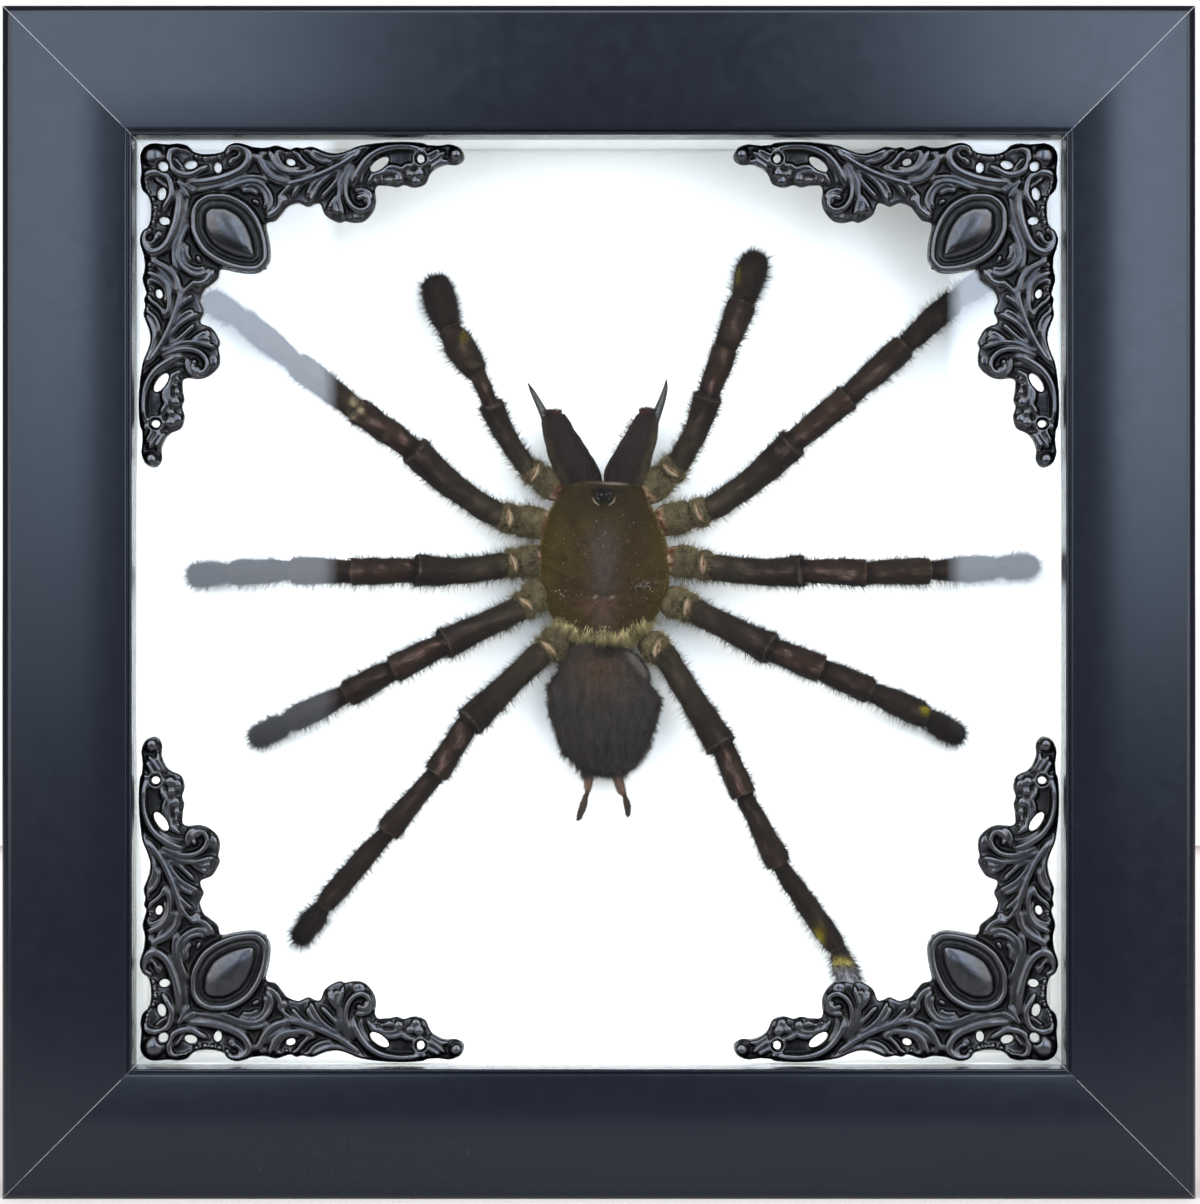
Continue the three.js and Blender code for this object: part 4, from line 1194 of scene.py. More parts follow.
HIND_TIBIA = [(0.0, 0.72), (0.04, 0.76), (0.3, 0.84), (0.7, 1.02), (0.9, 1.1), (0.965, 1.1), (0.985, 1.08),
              (1.0, 0.82)]
METATARSUS = [(0.0, 0.74), (0.04, 0.8), (0.3, 0.97), (0.6, 1.06), (0.85, 1.04), (0.94, 0.96), (0.98, 0.84),
              (1.0, 0.66)]
TARSUS = [(0.0, 0.66), (0.05, 0.76), (0.25, 0.98), (0.6, 1.06), (0.85, 0.95), (0.95, 0.68), (1.0, 0.2)]
BULGED_TIBIA = [(0.0, 0.62), (0.06, 0.72), (0.3, 0.92), (0.5, 1.0), (0.7, 0.95), (0.88, 0.78), (0.96, 0.74),
                (1.0, 0.66)]
LEG_RISES = (6.5, 7.5, 12.0, 11.5, 8.0, 4.5, 2.4)
PALP_RISES = (6.0, 7.0, 11.0, 10.5, 7.5, 3.4)
# Kinds of limb: each segment's half width and profile, and each joint's rise above the board
KINDS = {
    "leg": ((2.6, 2.75, 2.5, 2.4, 2.2, 2.1), (COXA, FEMUR, PATELLA, TIBIA, METATARSUS, TARSUS), LEG_RISES),
    "hind_leg": ((2.6, 2.7, 2.4, 2.2, 1.95, 2.0),
                 (COXA, FEMUR, PATELLA, HIND_TIBIA, METATARSUS, TARSUS), LEG_RISES),
    "palp": ((2.6, 2.55, 2.35, 2.5, 2.6), (COXA, FEMUR, PATELLA, TIBIA, TARSUS), PALP_RISES),
    "left_palp": ((2.3, 2.2, 1.65, 2.9, 2.75), (COXA, FEMUR, PATELLA, BULGED_TIBIA, TARSUS), PALP_RISES),
}
# Shares of a colour on each segment, from the coxa outwards
REDDISH = [0.0, 0.1, 0.9, 0.45, 0.3, 0.2]
OLIVE = [1.0, 0.25, 0.1, 0.1, 0.05, 0.0]
# the next list gives each segment's share of painted highlight streak
PINK_SHEEN = [0.0, 0.35, 1.0, 0.4, 0.2, 0.1]
LIMB_SIDES = 32
COXA_STEPS, SEGMENT_STEPS = 8, 4  # rings between two stations of a profile
LIMB_ROOT = 1.6  # how far the limb runs in under the body


def joints_of(name):
    """A limb's joints: x, z and rise above the board"""
    kind, _, places = LIMBS[name]
    return np.array([(*place, rise) for place, rise in zip(places, KINDS[kind][2])])


def centre_line(stations):
    """Places of stations that begin with x, z and rise above the board"""
    return np.stack([stations[:, 0], BOARD_FRONT - stations[:, 2], stations[:, 1]], 1)


def limb_line(name):
    """Centres, half widths, segment numbers and shares along one limb"""
    kind, bow, _ = LIMBS[name]
    widths, profiles, _ = KINDS[kind]
    points = centre_line(joints_of(name))
    inward = points[0] + unit(points[0] - points[1]) * LIMB_ROOT
    centres, halves, numbers, shares = [inward[None]], [np.array([widths[0] * 0.8])], [[0]], [[0.0]]
    for number, profile in enumerate(profiles):
        curve = smooth_curve(profile, SEGMENT_STEPS if number else COXA_STEPS)
        share, swell = np.clip(curve[:, 0], 0, 1), curve[:, 1]
        start, end = points[number], points[number + 1]
        line = start + (end - start) * share[:, None]
        if number == 1:
            run = unit(end - start)
            backwards = unit(np.array([-run[2], 0, run[0]])) * (1 if run[0] < 0 else -1)
            line = line + backwards * (bow * np.sin(math.pi * share))[:, None]
        centres.append(line)
        halves.append(widths[number] * swell)
        numbers.append(np.full(len(share), number))
        shares.append(share)
    return (np.vstack(centres), np.concatenate(halves), np.concatenate(numbers).astype(int),
            np.concatenate(shares))


def band(value, centre, half):
    """1 at the centre, falling smoothly to 0 at half away from it"""
    share = np.clip(1 - abs(value - centre) / half, 0, 1)
    return share ** 2 * (3 - 2 * share)


# Marks on single limbs: attribute, place in the picture plane, half width, half height, strength
MARKS = {
    "leg_1_left": [("pale", (-45.9, 37.6), 0.9, 0.9, 1.0), ("pale", (-46.4, 34.9), 0.8, 0.8, 1.0),
                   ("pale", (-44.6, 36.0), 0.6, 0.6, 0.9), ("pale", (-28.7, 25.3), 0.3, 0.3, 0.8)],
    "leg_1_right": [("pale", (26.4, 21.5), 0.3, 0.3, 1.0)],
    "leg_3_right": [("stain", (61.8, -20.6), 0.9, 0.7, 0.6)],
    # the last mark of leg_4_right is painted glare: its tip whitened as by a reflection in the glass
    "leg_4_right": [("stain", (41.6, -64.6), 0.9, 2.2, 1.2), ("stain", (46.2, -68.4), 4.0, 0.9, 1.2),
                    ("painted_glare", (47.5, -73.2), 6.0, 3.4, 1.6)],
    "palp_left": [("pale", (-23.4, 44.6), 1.5, 0.6, 0.15), ("stain", (-25.4, 50.2), 0.7, 1.4, 0.25)],
    "palp_right": [("stain", (26.2, 62.2), 0.5, 1.4, 0.7), ("pale", (25.4, 52.5), 0.3, 1.6, 0.2)],
}
PIT_SHARE = 0.815  # where the pale slit lies on a trochanter
STRETCH = 0.08  # grain is drawn out along a limb by the inverse of this
UPPER_SIDE = 1.57  # the angle of a section's upper side, in radians
BARE_ROOTS = ("leg_1", "leg_2", "palp_")


def slit_marks(share, across, on_coxa, base_length):
    """The pale lens on a trochanter: the lens, its slit, the slit's red lip and the lens's edge"""
    beyond_pit = (share - PIT_SHARE) * base_length + 0.18 * across
    eye = 1 - (across / 2.25) ** 2 - abs(beyond_pit)
    lens = np.clip(eye / 0.5, 0, 1)
    slit = np.exp(-(across / 1.3) ** 4 - ((beyond_pit + 0.07 * np.cos(2 * across)) / 0.085) ** 2)
    red_lip = np.exp(-(across / 1.4) ** 4 - ((beyond_pit - 0.27) / 0.16) ** 2)
    return [mark * on_coxa for mark in (lens, slit, red_lip, band(eye, -0.08, 0.28))]


def limb_tints(name, grid, turn, share, numbers, grooves, seed):
    """Shares of each colour on a limb, but for the lens on its trochanter"""
    number = numbers[:, None]
    cuff = band(share, 0.975, 0.025) * (number < numbers.max()) * (number > 0)
    start = (np.clip(1 - share / 0.14, 0, 1) * (number > 1)
             + 0.5 * np.clip(1 - share / 0.05, 0, 1) * (number == 1))
    root = np.clip(1 - share / 0.13, 0, 1) * (number == 0) * (0.9 if name[:5] in BARE_ROOTS else 0.15)
    # painted highlight: a pink streak along each segment's upper side, where the light catches it
    sheen_crest = band(turn, UPPER_SIDE + 0.35 * wobble(grid, 6, seed + 3), 0.5)
    smooth_top = band(turn, UPPER_SIDE, 1.0) * (1 - 0.6 * grooves)
    tints = {
        "pale": 0.25 * cuff * np.clip(0.5 + wobble(grid, 1.2, seed + 2), 0, 1),
        # the band at 0.63 on the coxa is painted shade in the crease before the trochanter; the rest is the
        # dark of the joints
        "dark": 0.75 * start + 0.6 * band(share, 0.63, 0.07) * (number == 0),
        "membrane": 0.9 * root,
        "pink": sheen_crest * np.clip(0.3 + 0.8 * wobble(grid, 4, seed + 4), 0, 1) * np.array(PINK_SHEEN)[number],
        "reddish": np.array(REDDISH)[number] * (0.4 + 0.6 * smooth_top),
        "olive": np.array(OLIVE)[number] * np.where(number == 1, 1 - share, 1.0),
    }
    for key, centre, wide, high, strength in MARKS.get(name, ()):
        tints[key] = tints.get(key, 0) + strength * spot(grid, centre, wide, high)
    return tints


def make_limb(name):
    centres, halves, numbers, shares = limb_line(name)
    seed = sum(map(ord, name))
    grid, angle = swept(centres, halves, halves, LIMB_SIDES)
    share, number, half, turn = shares[:, None], numbers[:, None], halves[:, None], angle[None]
    across = np.cos(turn) * half
    joints = joints_of(name)
    on_coxa = (number == 0) * np.clip(np.sin(turn) * 2, 0, 1)
    base_length = np.linalg.norm(joints[1] - joints[0])
    lens, slit, red_lip, lens_edge = slit_marks(share, across, on_coxa, base_length)
    grooves = band(turn, 1.15, 0.3) + band(turn, 1.95, 0.3)
    middle_share = np.sin(math.pi * share) ** 0.5
    sunk = 0.15 * grooves * middle_share * (number >= 2) + 0.05 * grooves * middle_share * (number == 1)
    rough = 0.13 * wobble(grid, 4.5, seed) + 0.06 * wobble(grid, 1.5, seed + 1)
    grid = pushed_out(grid, rough - sunk + 0.35 * lens - 0.25 * slit - 0.2 * lens_edge - 0.04)
    tints = limb_tints(name, grid, turn, share, numbers, grooves, seed)
    tints["pale"] = tints["pale"] + 0.42 * lens - slit
    tints["dark"] = tints["dark"] + 0.7 * lens_edge
    tints["membrane"] = np.maximum(0.75 * red_lip, tints["membrane"])
    steps = np.linalg.norm(np.diff(centres, axis=0), axis=1)
    run = np.concatenate([[0], np.cumsum(steps)])[:, None]
    sculpt = Sculpt()
    grain = (across + seed, np.sin(turn) * half, run * STRETCH)
    # the slit's peach line is a painted highlight
    sculpt.add_grid(grid, grain=grain, peach=0.75 * slit, **tints)
    add_limb_hair(sculpt, grid, numbers, shares, lens, FAIR_BASES.get(name, 0.3))
    piece = sculpt.place(name + "_detail", [LIMB_SKIN, LIMB_HAIR])
    ride(piece, "limb_hair", name)


# Coats of hair on a leg: count, lengths, thickness, how upright, scatter, share more on the coxa
LIMB_COATS = [(4400, (0.5, 1.0), 0.07, (0.2, 0.6), 0.16, 1.0),
              (3200, (0.8, 1.5), 0.1, (0.5, 0.9), 0.24, 1.3),
              (3000, (1.3, 2.7), 0.08, (0.5, 1.0), 0.22, 1.2)]
PALP_HAIR_SHARE = 0.8
# How fair the darkest hairs of a limb's base are
FAIR_BASES = {"leg_4_right": 0.9, "leg_4_left": 0.7, "leg_3_right": 0.7, "leg_3_left": 0.5}


def add_limb_hair(sculpt, grid, numbers, shares, lens, fairest):
    last_segment = numbers.max()
    fur = np.where(numbers == last_segment, 1.5, 1.0) * np.where(numbers == 0, shares > 0.08, 1.0)
    olive = np.where(numbers == 0, 1.0, np.where(numbers == 1, 0.15 * (1 - shares), 0.0))
    for count, lengths, thickness, upright, spread, coxa_share in LIMB_COATS:
        count = count if last_segment == 5 else int(count * PALP_HAIR_SHARE)
        weight = fur * np.where(numbers == 0, coxa_share, 1.0)
        roots, outward, flow, row, _ = scatter(grid, weight[:, None] * (1 - 0.9 * lens), count)
        lift = rng.uniform(*upright, count)[:, None]
        direction = outward * lift + flow * (1 - lift) + jitter(roots, spread)
        add_hairs(sculpt, roots, direction, rng.uniform(*lengths, count), thickness, 1,
                  warm=olive[row] * rng.uniform(fairest, 1.0, count))


CARAPACE = [  # stations (x, z, rise, half width, half thickness)
    (0.8, 22.4, 7.6, 7.3, 3.5), (0.7, 19.3, 7.8, 8.7, 4.2), (0.6, 16.1, 7.8, 10.4, 4.5),
    (0.7, 12.3, 7.8, 11.6, 4.6), (0.9, 7.0, 7.6, 12.4, 4.5), (0.9, 1.6, 7.4, 11.9, 4.2),
    (0.8, -2.6, 7.2, 10.0, 3.8), (0.8, -5.6, 7.0, 7.1, 3.0), (0.7, -6.9, 6.9, 4.4, 2.2),
]
FOVEA = (0.8, 1.1)
FURROWS = [[(1.6, 1.6), (5, 2.2), (9, 4.6), (11.5, 6)], [(0, 1.6), (-3.4, 2.2), (-7.4, 4.6), (-10, 6)],
           [(1.5, 2.2), (4, 6.5), (6.5, 12), (7.4, 17)], [(0.1, 2.2), (-2.4, 6.5), (-5, 12), (-6, 17)],
           [(1.6, 0.6), (5, -0.5), (8.8, -1)], [(0, 0.6), (-3.4, -0.5), (-7.2, -1)],
           [(1.2, 0.3), (3.2, -3), (4.6, -5.4)], [(0.4, 0.3), (-1.6, -3), (-3, -5.4)]]
CRACK = [(5.9, 2.7), (6.9, 2.95), (8.1, 3.65), (9.8, 4.0), (11.1, 3.9)]
TUBERCLE = (0.95, 19.7)
CARAPACE_SIDES = 132
RAY_SPREAD = 9.0  # how finely grain runs out from the fovea in rays


def flat_of(grid):
    return np.stack([grid[..., 0].ravel(), grid[..., 2].ravel()], 1)


def line_band(grid, line, half):
    """1 on a line drawn over the picture plane, falling to 0 at half mm from it"""
    distance, _, _ = nearest(flat_of(grid), smooth_curve(line, 4), closed=False)
    return band(distance.reshape(grid.shape[:2]), 0, half)


def shifted(line, x_step, z_step):
    return [(x + x_step, z + z_step) for x, z in line]


def spot(grid, centre, wide, high):
    x, z = grid[..., 0] - centre[0], grid[..., 2] - centre[1]
    return np.exp(-(x / wide) ** 2 - (z / high) ** 2)


def spots(grid, *marks):
    """Sum of soft spots, each a strength, a centre, a half width and a half height"""
    return sum(strength * spot(grid, *place) for strength, *place in marks)


def capped(stations, ends=((0.0, 0.02), (0.0, 0.8), (0.25, 0.95))):
    """Adds closing rings to both ends of a smooth line of stations (x, z, rise, wide, thick)"""
    curve = smooth_curve(stations, 9)
    front, rear = [], []
    for step, scale in ends:
        for side, rings, ring in ((0, front, curve[0]), (-1, rear, curve[-1])):
            moved = ring.copy()
            moved[3:] *= scale
            rings.append(moved)
    return np.vstack([front, curve, rear[::-1]])


def body_grid(profile, sides, power):
    """The stations of a body part, a grid around them, and the share from 0 to 1 that faces up"""
    stations = capped(profile)
    grid, angle = swept(centre_line(stations), stations[:, 3], stations[:, 4], sides, power)
    return stations, grid, np.clip(np.sin(angle)[None], 0, 1) ** 0.5


def aside(grid, stations, least):
    """How far a place lies beside the middle line, in half widths"""
    return (grid[..., 0] - stations[:, 0][:, None]) / np.maximum(stations[:, 3][:, None], least)


def blob(centre, radii, rows=7, columns=10):
    """A small rounded knob"""
    polar = np.linspace(0.02, math.pi - 0.02, rows)[:, None]
    turn = np.linspace(0, 2 * math.pi, columns, endpoint=False)[None]
    shape = np.stack([np.sin(polar) * np.cos(turn), -np.sin(polar) * np.sin(turn),
                      np.cos(polar) * np.ones_like(turn)], -1)
    return np.array(centre) + shape * np.array(radii), closed_faces(rows, columns)


def far_aside(grid):
    """0 near the middle of the carapace's rear, 1 towards its corners"""
    return np.clip(abs(grid[..., 0] - FOVEA[0]) / 5 - 0.5, 0, 1)


def carapace_tints(grid, dorsal, reach, furrows, crack, below_crack):
    """Shares of each colour on the carapace"""
    x, z = grid[..., 0], grid[..., 2]
    # middle: grey violet stripe along the shell, partly its colour and partly painted sheen
    middle = np.exp(-((x - 0.9) / 2.9) ** 2) * np.clip((17 - z) / 6, 0, 1) * np.clip((z + 0.5) / 3, 0.35, 1)
    pink = (0.5 * spot(grid, (0.9, -0.4), 3.6, 1.8) * np.clip((1.3 - z) / 0.8, 0, 1)
            + spots(grid, (0.3, (0.9, -3.2), 2.0, 2.2), (0.4, (0.9, 0.5), 2.0, 0.5)))
    pale = (spots(grid, (0.8, (-0.5, 0.9), 0.28, 0.2), (0.8, (2.3, 1.0), 0.28, 0.2),
                  (0.45, (0.9, 0.7), 1.6, 0.16))
            + 0.15 * crack + 0.5 * band(z, 22.28, 0.17) * (dorsal > 0.2 ** 0.5)
            + 0.3 * np.clip((-5.3 + 1.9 * far_aside(grid) - z) / 1.5, 0, 1))
    brown = 0.6 * furrows + spots(grid, (0.9, (-5.0, 3.0), 2.6, 2.2), (0.7, (6, -1), 3, 3),
                                  (0.5, (-5.5, -2.5), 2.5, 2))
    dark = (0.5 * np.clip((z - 13) / 6, 0, 1) + 0.8 * below_crack
            + spots(grid, (0.35, (7.5, 12), 3.5, 7), (0.9, (0.9, 20.9), 2.0, 0.6),
                    (0.9, TUBERCLE, 1.3, 1.0), (0.7, (0.9, 1.15), 1.6, 0.2)))
    rim = np.clip((reach - 0.93) / 0.05, 0, 1) + 0.35 * band(reach, 0.88, 0.25) * np.where(x > 0.9, 0.3, 1)
    tints = {"middle": middle, "pale": pale, "pink": pink, "brown": brown, "dark": dark}
    return {"rim": rim * (z < 20), **{key: tint * dorsal for key, tint in tints.items()}}


def make_cephalothorax():
    stations, grid, dorsal = body_grid(CARAPACE, CARAPACE_SIDES, 2.35)
    furrows = sum(line_band(grid, line, 0.9) for line in FURROWS)
    crack = line_band(grid, CRACK, 0.35)
    below_crack = line_band(grid, shifted(CRACK, 0, -0.6), 0.6)
    raised = (0.5 * spot(grid, (0.9, 14), 5.5, 8) - 0.2 * furrows - 0.8 * spot(grid, FOVEA, 1.9, 0.28)
              + 0.3 * crack - 0.3 * below_crack + 0.7 * spot(grid, TUBERCLE, 2.0, 1.4))
    rough = 0.08 * wobble(grid, 3.5, 5) + 0.04 * wobble(grid, 1.2, 6)
    grid = pushed_out(grid, raised * dorsal + rough)
    reach = abs(aside(grid, stations, 0.1))
    tints = carapace_tints(grid, dorsal, reach, furrows, crack, below_crack)
    outward_x, outward_z = grid[..., 0] - FOVEA[0], grid[..., 2] - FOVEA[1]
    distance = np.hypot(outward_x, outward_z) + 0.5
    around = RAY_SPREAD / distance
    sculpt = Sculpt()
    sculpt.add_grid(grid, grain=(outward_x * around, outward_z * around, distance * STRETCH), **tints)
    add_eyes(sculpt, grid)
    add_grains(sculpt, grid)
    add_carapace_hair(sculpt, grid, reach)
    piece = sculpt.place("cephalothorax_detail", [CARAPACE_SKIN, BODY_HAIR, EYE])
    ride(piece, "carapace", "cephalothorax")


def surface_height(grid, x, z):
    """The foremost y of the grid near a place in the picture plane"""
    near = np.hypot(grid[..., 0] - x, grid[..., 2] - z) < 0.6
    return grid[..., 1][near].min() if near.any() else grid[..., 1].min()


def add_eyes(sculpt, grid):
    x0, z0 = TUBERCLE
    pairs = [(0.45, 0.45, 0.42), (1.25, 0.55, 0.33), (0.95, -0.35, 0.3), (1.35, -0.1, 0.28)]
    for across, up, radius in pairs:
        for side in (-1, 1):
            x, z = x0 + side * across, z0 + up
            centre = (x, surface_height(grid, x, z) + radius * 0.35, z)
            sculpt.add(*blob(centre, (radius, radius, radius)), 2)
    for side in (-1, 1):
        bends = [(2.15, 0.1), (1.75, -0.9), (0.8, -1.6)]
        line = smooth_curve([(x0 + side * across, z0 + up) for across, up in bends], 6)
        centres = np.array([(x, surface_height(grid, x, z) - 0.02, z) for x, z in line])
        widths = 0.2 * np.sin(np.linspace(0.15, math.pi - 0.15, len(line)))
        ridge, _ = swept(centres, widths, widths, 8)
        sculpt.add_grid(ridge, pale=0.4)


def add_grains(sculpt, grid):
    """Pale grains of dust stuck to the shell"""
    clusters = [((9.4, 2.9), (1.9, 0.55), 34), ((-6.6, 1.4), (1.1, 0.5), 14), ((-7.6, 14.6), (0.6, 1.2), 5),
                ((0.5, 12), (7, 6), 18), ((0.5, 0), (8, 4), 8)]
    for centre, spread, count in clusters:
        for _ in range(count):
            x, z = np.array(centre) + rng.normal(size=2) * spread
            if np.hypot((x - 0.9) / 11.5, (z - 7) / 13) > 0.9:
                continue
            size = rng.uniform(0.06, 0.14)
            sculpt.add(*blob((x, surface_height(grid, x, z) + 0.02, z), (size, size, size), 4, 6), 0,
                       pale=rng.uniform(0.35, 0.9))


def add_carapace_hair(sculpt, grid, reach):
    add_short_hair(sculpt, grid)
    add_fringe(sculpt, grid)
    add_rim_hair(sculpt, grid, reach)


def add_short_hair(sculpt, grid):
    roots, outward, *_ = scatter(grid, 1.0, 4000)
    away = unit(roots * np.array([1, 0, 1]) - np.array([FOVEA[0], 0, 6.0]))
    direction = outward * 0.3 + away * 0.6 + REARWARD * 0.1 + jitter(roots, 0.2)
    add_hairs(sculpt, roots, direction, rng.uniform(0.2, 0.5, len(roots)), 0.04, 1, warm=0.08)


def add_fringe(sculpt, grid):
    """The fair fringe along the carapace's rear"""
    corners = far_aside(grid)
    edge = -4.8 + 1.9 * corners + 0.5 * wobble(grid, 3.0, 42)
    rear = np.clip((edge - grid[..., 2]) / 1.8, 0, 1) ** 1.6 * (1 + 1.2 * corners) + NEVER
    roots, outward, *_ = scatter(grid, rear, 9000)
    direction = outward * 0.22 + REARWARD * 0.9 + leaning(roots, 1.6, 43) * 0.22 + jitter(roots, 0.34)
    direction[:, 0] += 0.06 * (roots[:, 0] - FOVEA[0])
    fair = np.clip(0.45 + 0.5 * wobble(roots, 1.5, 41) + rng.uniform(-0.3, 0.3, len(roots)), 0, 1)
    add_hairs(sculpt, roots, direction, rng.uniform(0.7, 2.7, len(roots)), 0.065, 1, warm=fair)


def add_rim_hair(sculpt, grid, reach):
    rim = (reach > 0.93) * np.clip((20 - grid[..., 2]) / 2, 0, 1) + NEVER
    roots, outward, *_ = scatter(grid, rim, 2000)
    direction = outward * 0.8 + REARWARD * 0.3 + jitter(roots, 0.3)
    add_hairs(sculpt, roots, direction, rng.uniform(0.35, 0.9, len(roots)), 0.045, 1,
              warm=rng.uniform(0.1, 0.5, len(roots)))


ABDOMEN_SIDES = 110
ABDOMEN = [  # stations (x, z, rise, half width, half thickness)
    (0.5, -7.0, 6.2, 3.4, 1.8), (0.3, -8.6, 6.4, 5.6, 3.3), (0.2, -10.4, 6.6, 7.3, 4.4),
    (0.3, -13.6, 6.8, 9.2, 5.4), (0.6, -17.5, 6.9, 10.2, 5.9), (1.1, -21.2, 6.9, 10.3, 5.9),
    (1.2, -25.0, 6.7, 9.3, 5.6), (1.5, -28.4, 6.4, 7.7, 4.8), (1.6, -31.2, 6.0, 5.3, 3.6),
    (1.8, -32.7, 5.8, 2.6, 2.0),
]
# Spinnerets: middle line (x, z, rise) and half width
SPINNERETS = [
    [(-1.8, -31.0, 5.6, 0.95), (-2.0, -33.5, 5.3, 0.85), (-2.1, -35.5, 5.0, 0.6), (-2.25, -36.2, 4.9, 0.36),
     (-2.6, -37.4, 4.6, 0.55), (-3.1, -39.0, 4.2, 0.66), (-3.7, -40.7, 3.8, 0.5), (-4.0, -41.5, 3.6, 0.15)],
    [(3.2, -31.4, 5.6, 1.05), (3.6, -33.6, 5.3, 0.95), (4.3, -35.7, 5.0, 0.75), (4.85, -36.6, 4.8, 0.4),
     (5.1, -37.6, 4.6, 0.55), (5.4, -38.9, 4.2, 0.62), (5.5, -40.2, 3.9, 0.45), (5.5, -40.9, 3.7, 0.15)],
]
SKIN_FOLD = [(5.6, -8.4), (7.2, -10.6), (9.6, -13.6)]
SIDE_CREASE = [(-6.6, -10.2), (-7.4, -13.5), (-7.2, -17.0)]
# Tufts of hair on the abdomen's edge: place, direction, hairs, length
TUFTS = [((-9.4, -16.4), (-1.0, 0.2), 60, 1.4), ((-8.9, -14.2), (-1.0, 0.3), 40, 1.2),
         ((11.2, -18.6), (1.0, -0.4), 70, 1.7), ((10.9, -20.6), (0.9, -0.8), 50, 1.4),
         ((9.4, -27.6), (0.7, -0.7), 60, 1.4), ((-6.6, -28.6), (-0.7, -0.7), 50, 1.4),
         ((-2.6, -32.4), (-0.5, -0.9), 90, 2.0), ((4.6, -32.0), (0.4, -0.9), 80, 1.8)]


def make_abdomen():
    _, grid, dorsal = body_grid(ABDOMEN, ABDOMEN_SIDES, 2.15)
    fold = line_band(grid, SKIN_FOLD, 0.75)
    crease = line_band(grid, SIDE_CREASE, 1.4)
    shaded_hollow = spot(grid, (1.6, -8.8), 3.4, 1.6)
    shade_beside_fold = line_band(grid, shifted(SKIN_FOLD, -1.3, -0.5), 1.2)
    raised = (0.9 * fold - 0.6 * shade_beside_fold - 0.6 * crease - 1.5 * shaded_hollow
              - 0.4 * spot(grid, (0.6, -14.5), 3.5, 3.5)
              - 0.4 * line_band(grid, [(-2, -11), (-3.4, -18)], 1.2)
              - 0.35 * line_band(grid, [(3.4, -12), (4.2, -17)], 1.2))
    rough = 0.28 * wobble(grid, 7, 15) + 0.14 * wobble(grid, 2.6, 16) + 0.06 * wobble(grid, 1.0, 17)
    edge_shape = spots(grid, (0.5, (11.3, -19.3), 2.0, 1.5), (-0.7, (10.4, -15.2), 2.0, 1.3),
                       (0.45, (-9.2, -16.2), 2.0, 1.2), (-0.4, (-8.8, -13.0), 2.0, 1.5))
    grid = pushed_out(grid, raised * dorsal + rough + edge_shape - 0.15)
    brown = spots(grid, (0.9, (0.4, -12.5), 4.4, 5.0), (0.4, (-6.5, -11), 2.5, 4))
    pale = 0.6 * fold + 0.5 * line_band(grid, shifted(SKIN_FOLD, -0.9, -0.3), 1.3)
    # painted shade: darkens the hollow behind the carapace, the dip beside the fold and the side crease
    dark = shaded_hollow + 0.3 * shade_beside_fold + 0.3 * crease
    sculpt = Sculpt()
    sculpt.add_grid(grid, brown=brown * dorsal, pale=pale * dorsal, dark=dark * dorsal,
                    grain=(grid[..., 0], grid[..., 1], grid[..., 2] * 0.3))
    add_velvet(sculpt, grid)
    add_tufts(sculpt, grid)
    for line in SPINNERETS:
        add_spinneret(sculpt, line)
    piece = sculpt.place("abdomen_detail", [ABDOMEN_SKIN, VELVET])
    ride(piece, "abdomen_hair", "abdomen")


def add_spinneret(sculpt, line):
    rings = smooth_curve(line, 6)
    tube, _ = swept(centre_line(rings), rings[:, 3], rings[:, 3], 18)
    tube = pushed_out(tube, 0.06 * wobble(tube, 0.9, 21) - 0.03)
    share = np.linspace(0, 1, len(tube))[:, None]
    sculpt.add_grid(tube, pink=np.clip(1.9 - 4.2 * share, 0, 0.8), brown=1.1 - share,
                    dark=0.6 * band(share, 0.43, 0.08))
    roots, outward, flow, row, _ = scatter(tube, 1.0, 650)
    direction = outward * 0.5 + flow * 0.6 + jitter(roots, 0.2)
    add_hairs(sculpt, roots, direction, rng.uniform(0.4, 1.0, len(roots)), 0.09, 1,
              warm=np.clip(1.0 - row / len(tube), 0, 1))


def add_velvet(sculpt, grid):
    on_fold = line_band(grid, shifted(SKIN_FOLD, -0.5, -0.2), 1.1) * (grid[..., 1] < BOARD_FRONT - 8)
    roots, outward, flow, *_ = scatter(grid, 1.02 - on_fold, 19000)
    lift = rng.uniform(0.25, 0.55, len(roots))[:, None]
    edge = np.clip(1.15 - 1.7 * abs(outward[:, 1]), 0, 1)
    bunched = leaning(roots, 1.7, 51) * (0.3 + 0.3 * edge)[:, None]
    direction = outward * lift + flow * (1 - lift) + bunched + jitter(roots, 0.14)
    rearness = np.clip((-20 - roots[:, 2]) / 10, 0, 1)
    length = rng.uniform(0.5, 1.0, len(roots)) * (1 + 0.8 * rearness + 0.5 * edge)
    brownish = spot(roots, (0.4, -12.5), 4.4, 5.0) * (outward[:, 1] < 0) * rng.uniform(0.3, 1.0, len(roots))
    shade = np.clip(rng.random(len(roots)) * 0.6 + 0.4 * wobble(roots * (1, 1, 0.5), 1.6, 54) + 0.2, 0, 1)
    add_hairs(sculpt, roots, direction, length, 0.085, 1, warm=brownish, shade=shade)


def add_tufts(sculpt, grid):
    points = grid.reshape(-1, 3)
    off_middle = 0.05 * abs(points[:, 1] - BOARD_FRONT + 7)
    for (x, z), (side, up), count, length in TUFTS:
        at = points[np.argmin(np.hypot(points[:, 0] - x, points[:, 2] - z) + off_middle)]
        roots = at + rng.normal(size=(count, 3)) * (0.35, 0.5, 0.45) - np.array([side, 0, up]) * 0.3
        direction = np.array([side, -0.1, up]) + rng.normal(size=(count, 3)) * 0.22
        add_hairs(sculpt, roots, direction, rng.uniform(0.6, 1.0, count) * length, 0.12, 1,
                  droop=REARWARD[None] * 0.3)


JAW_SIDES = 64
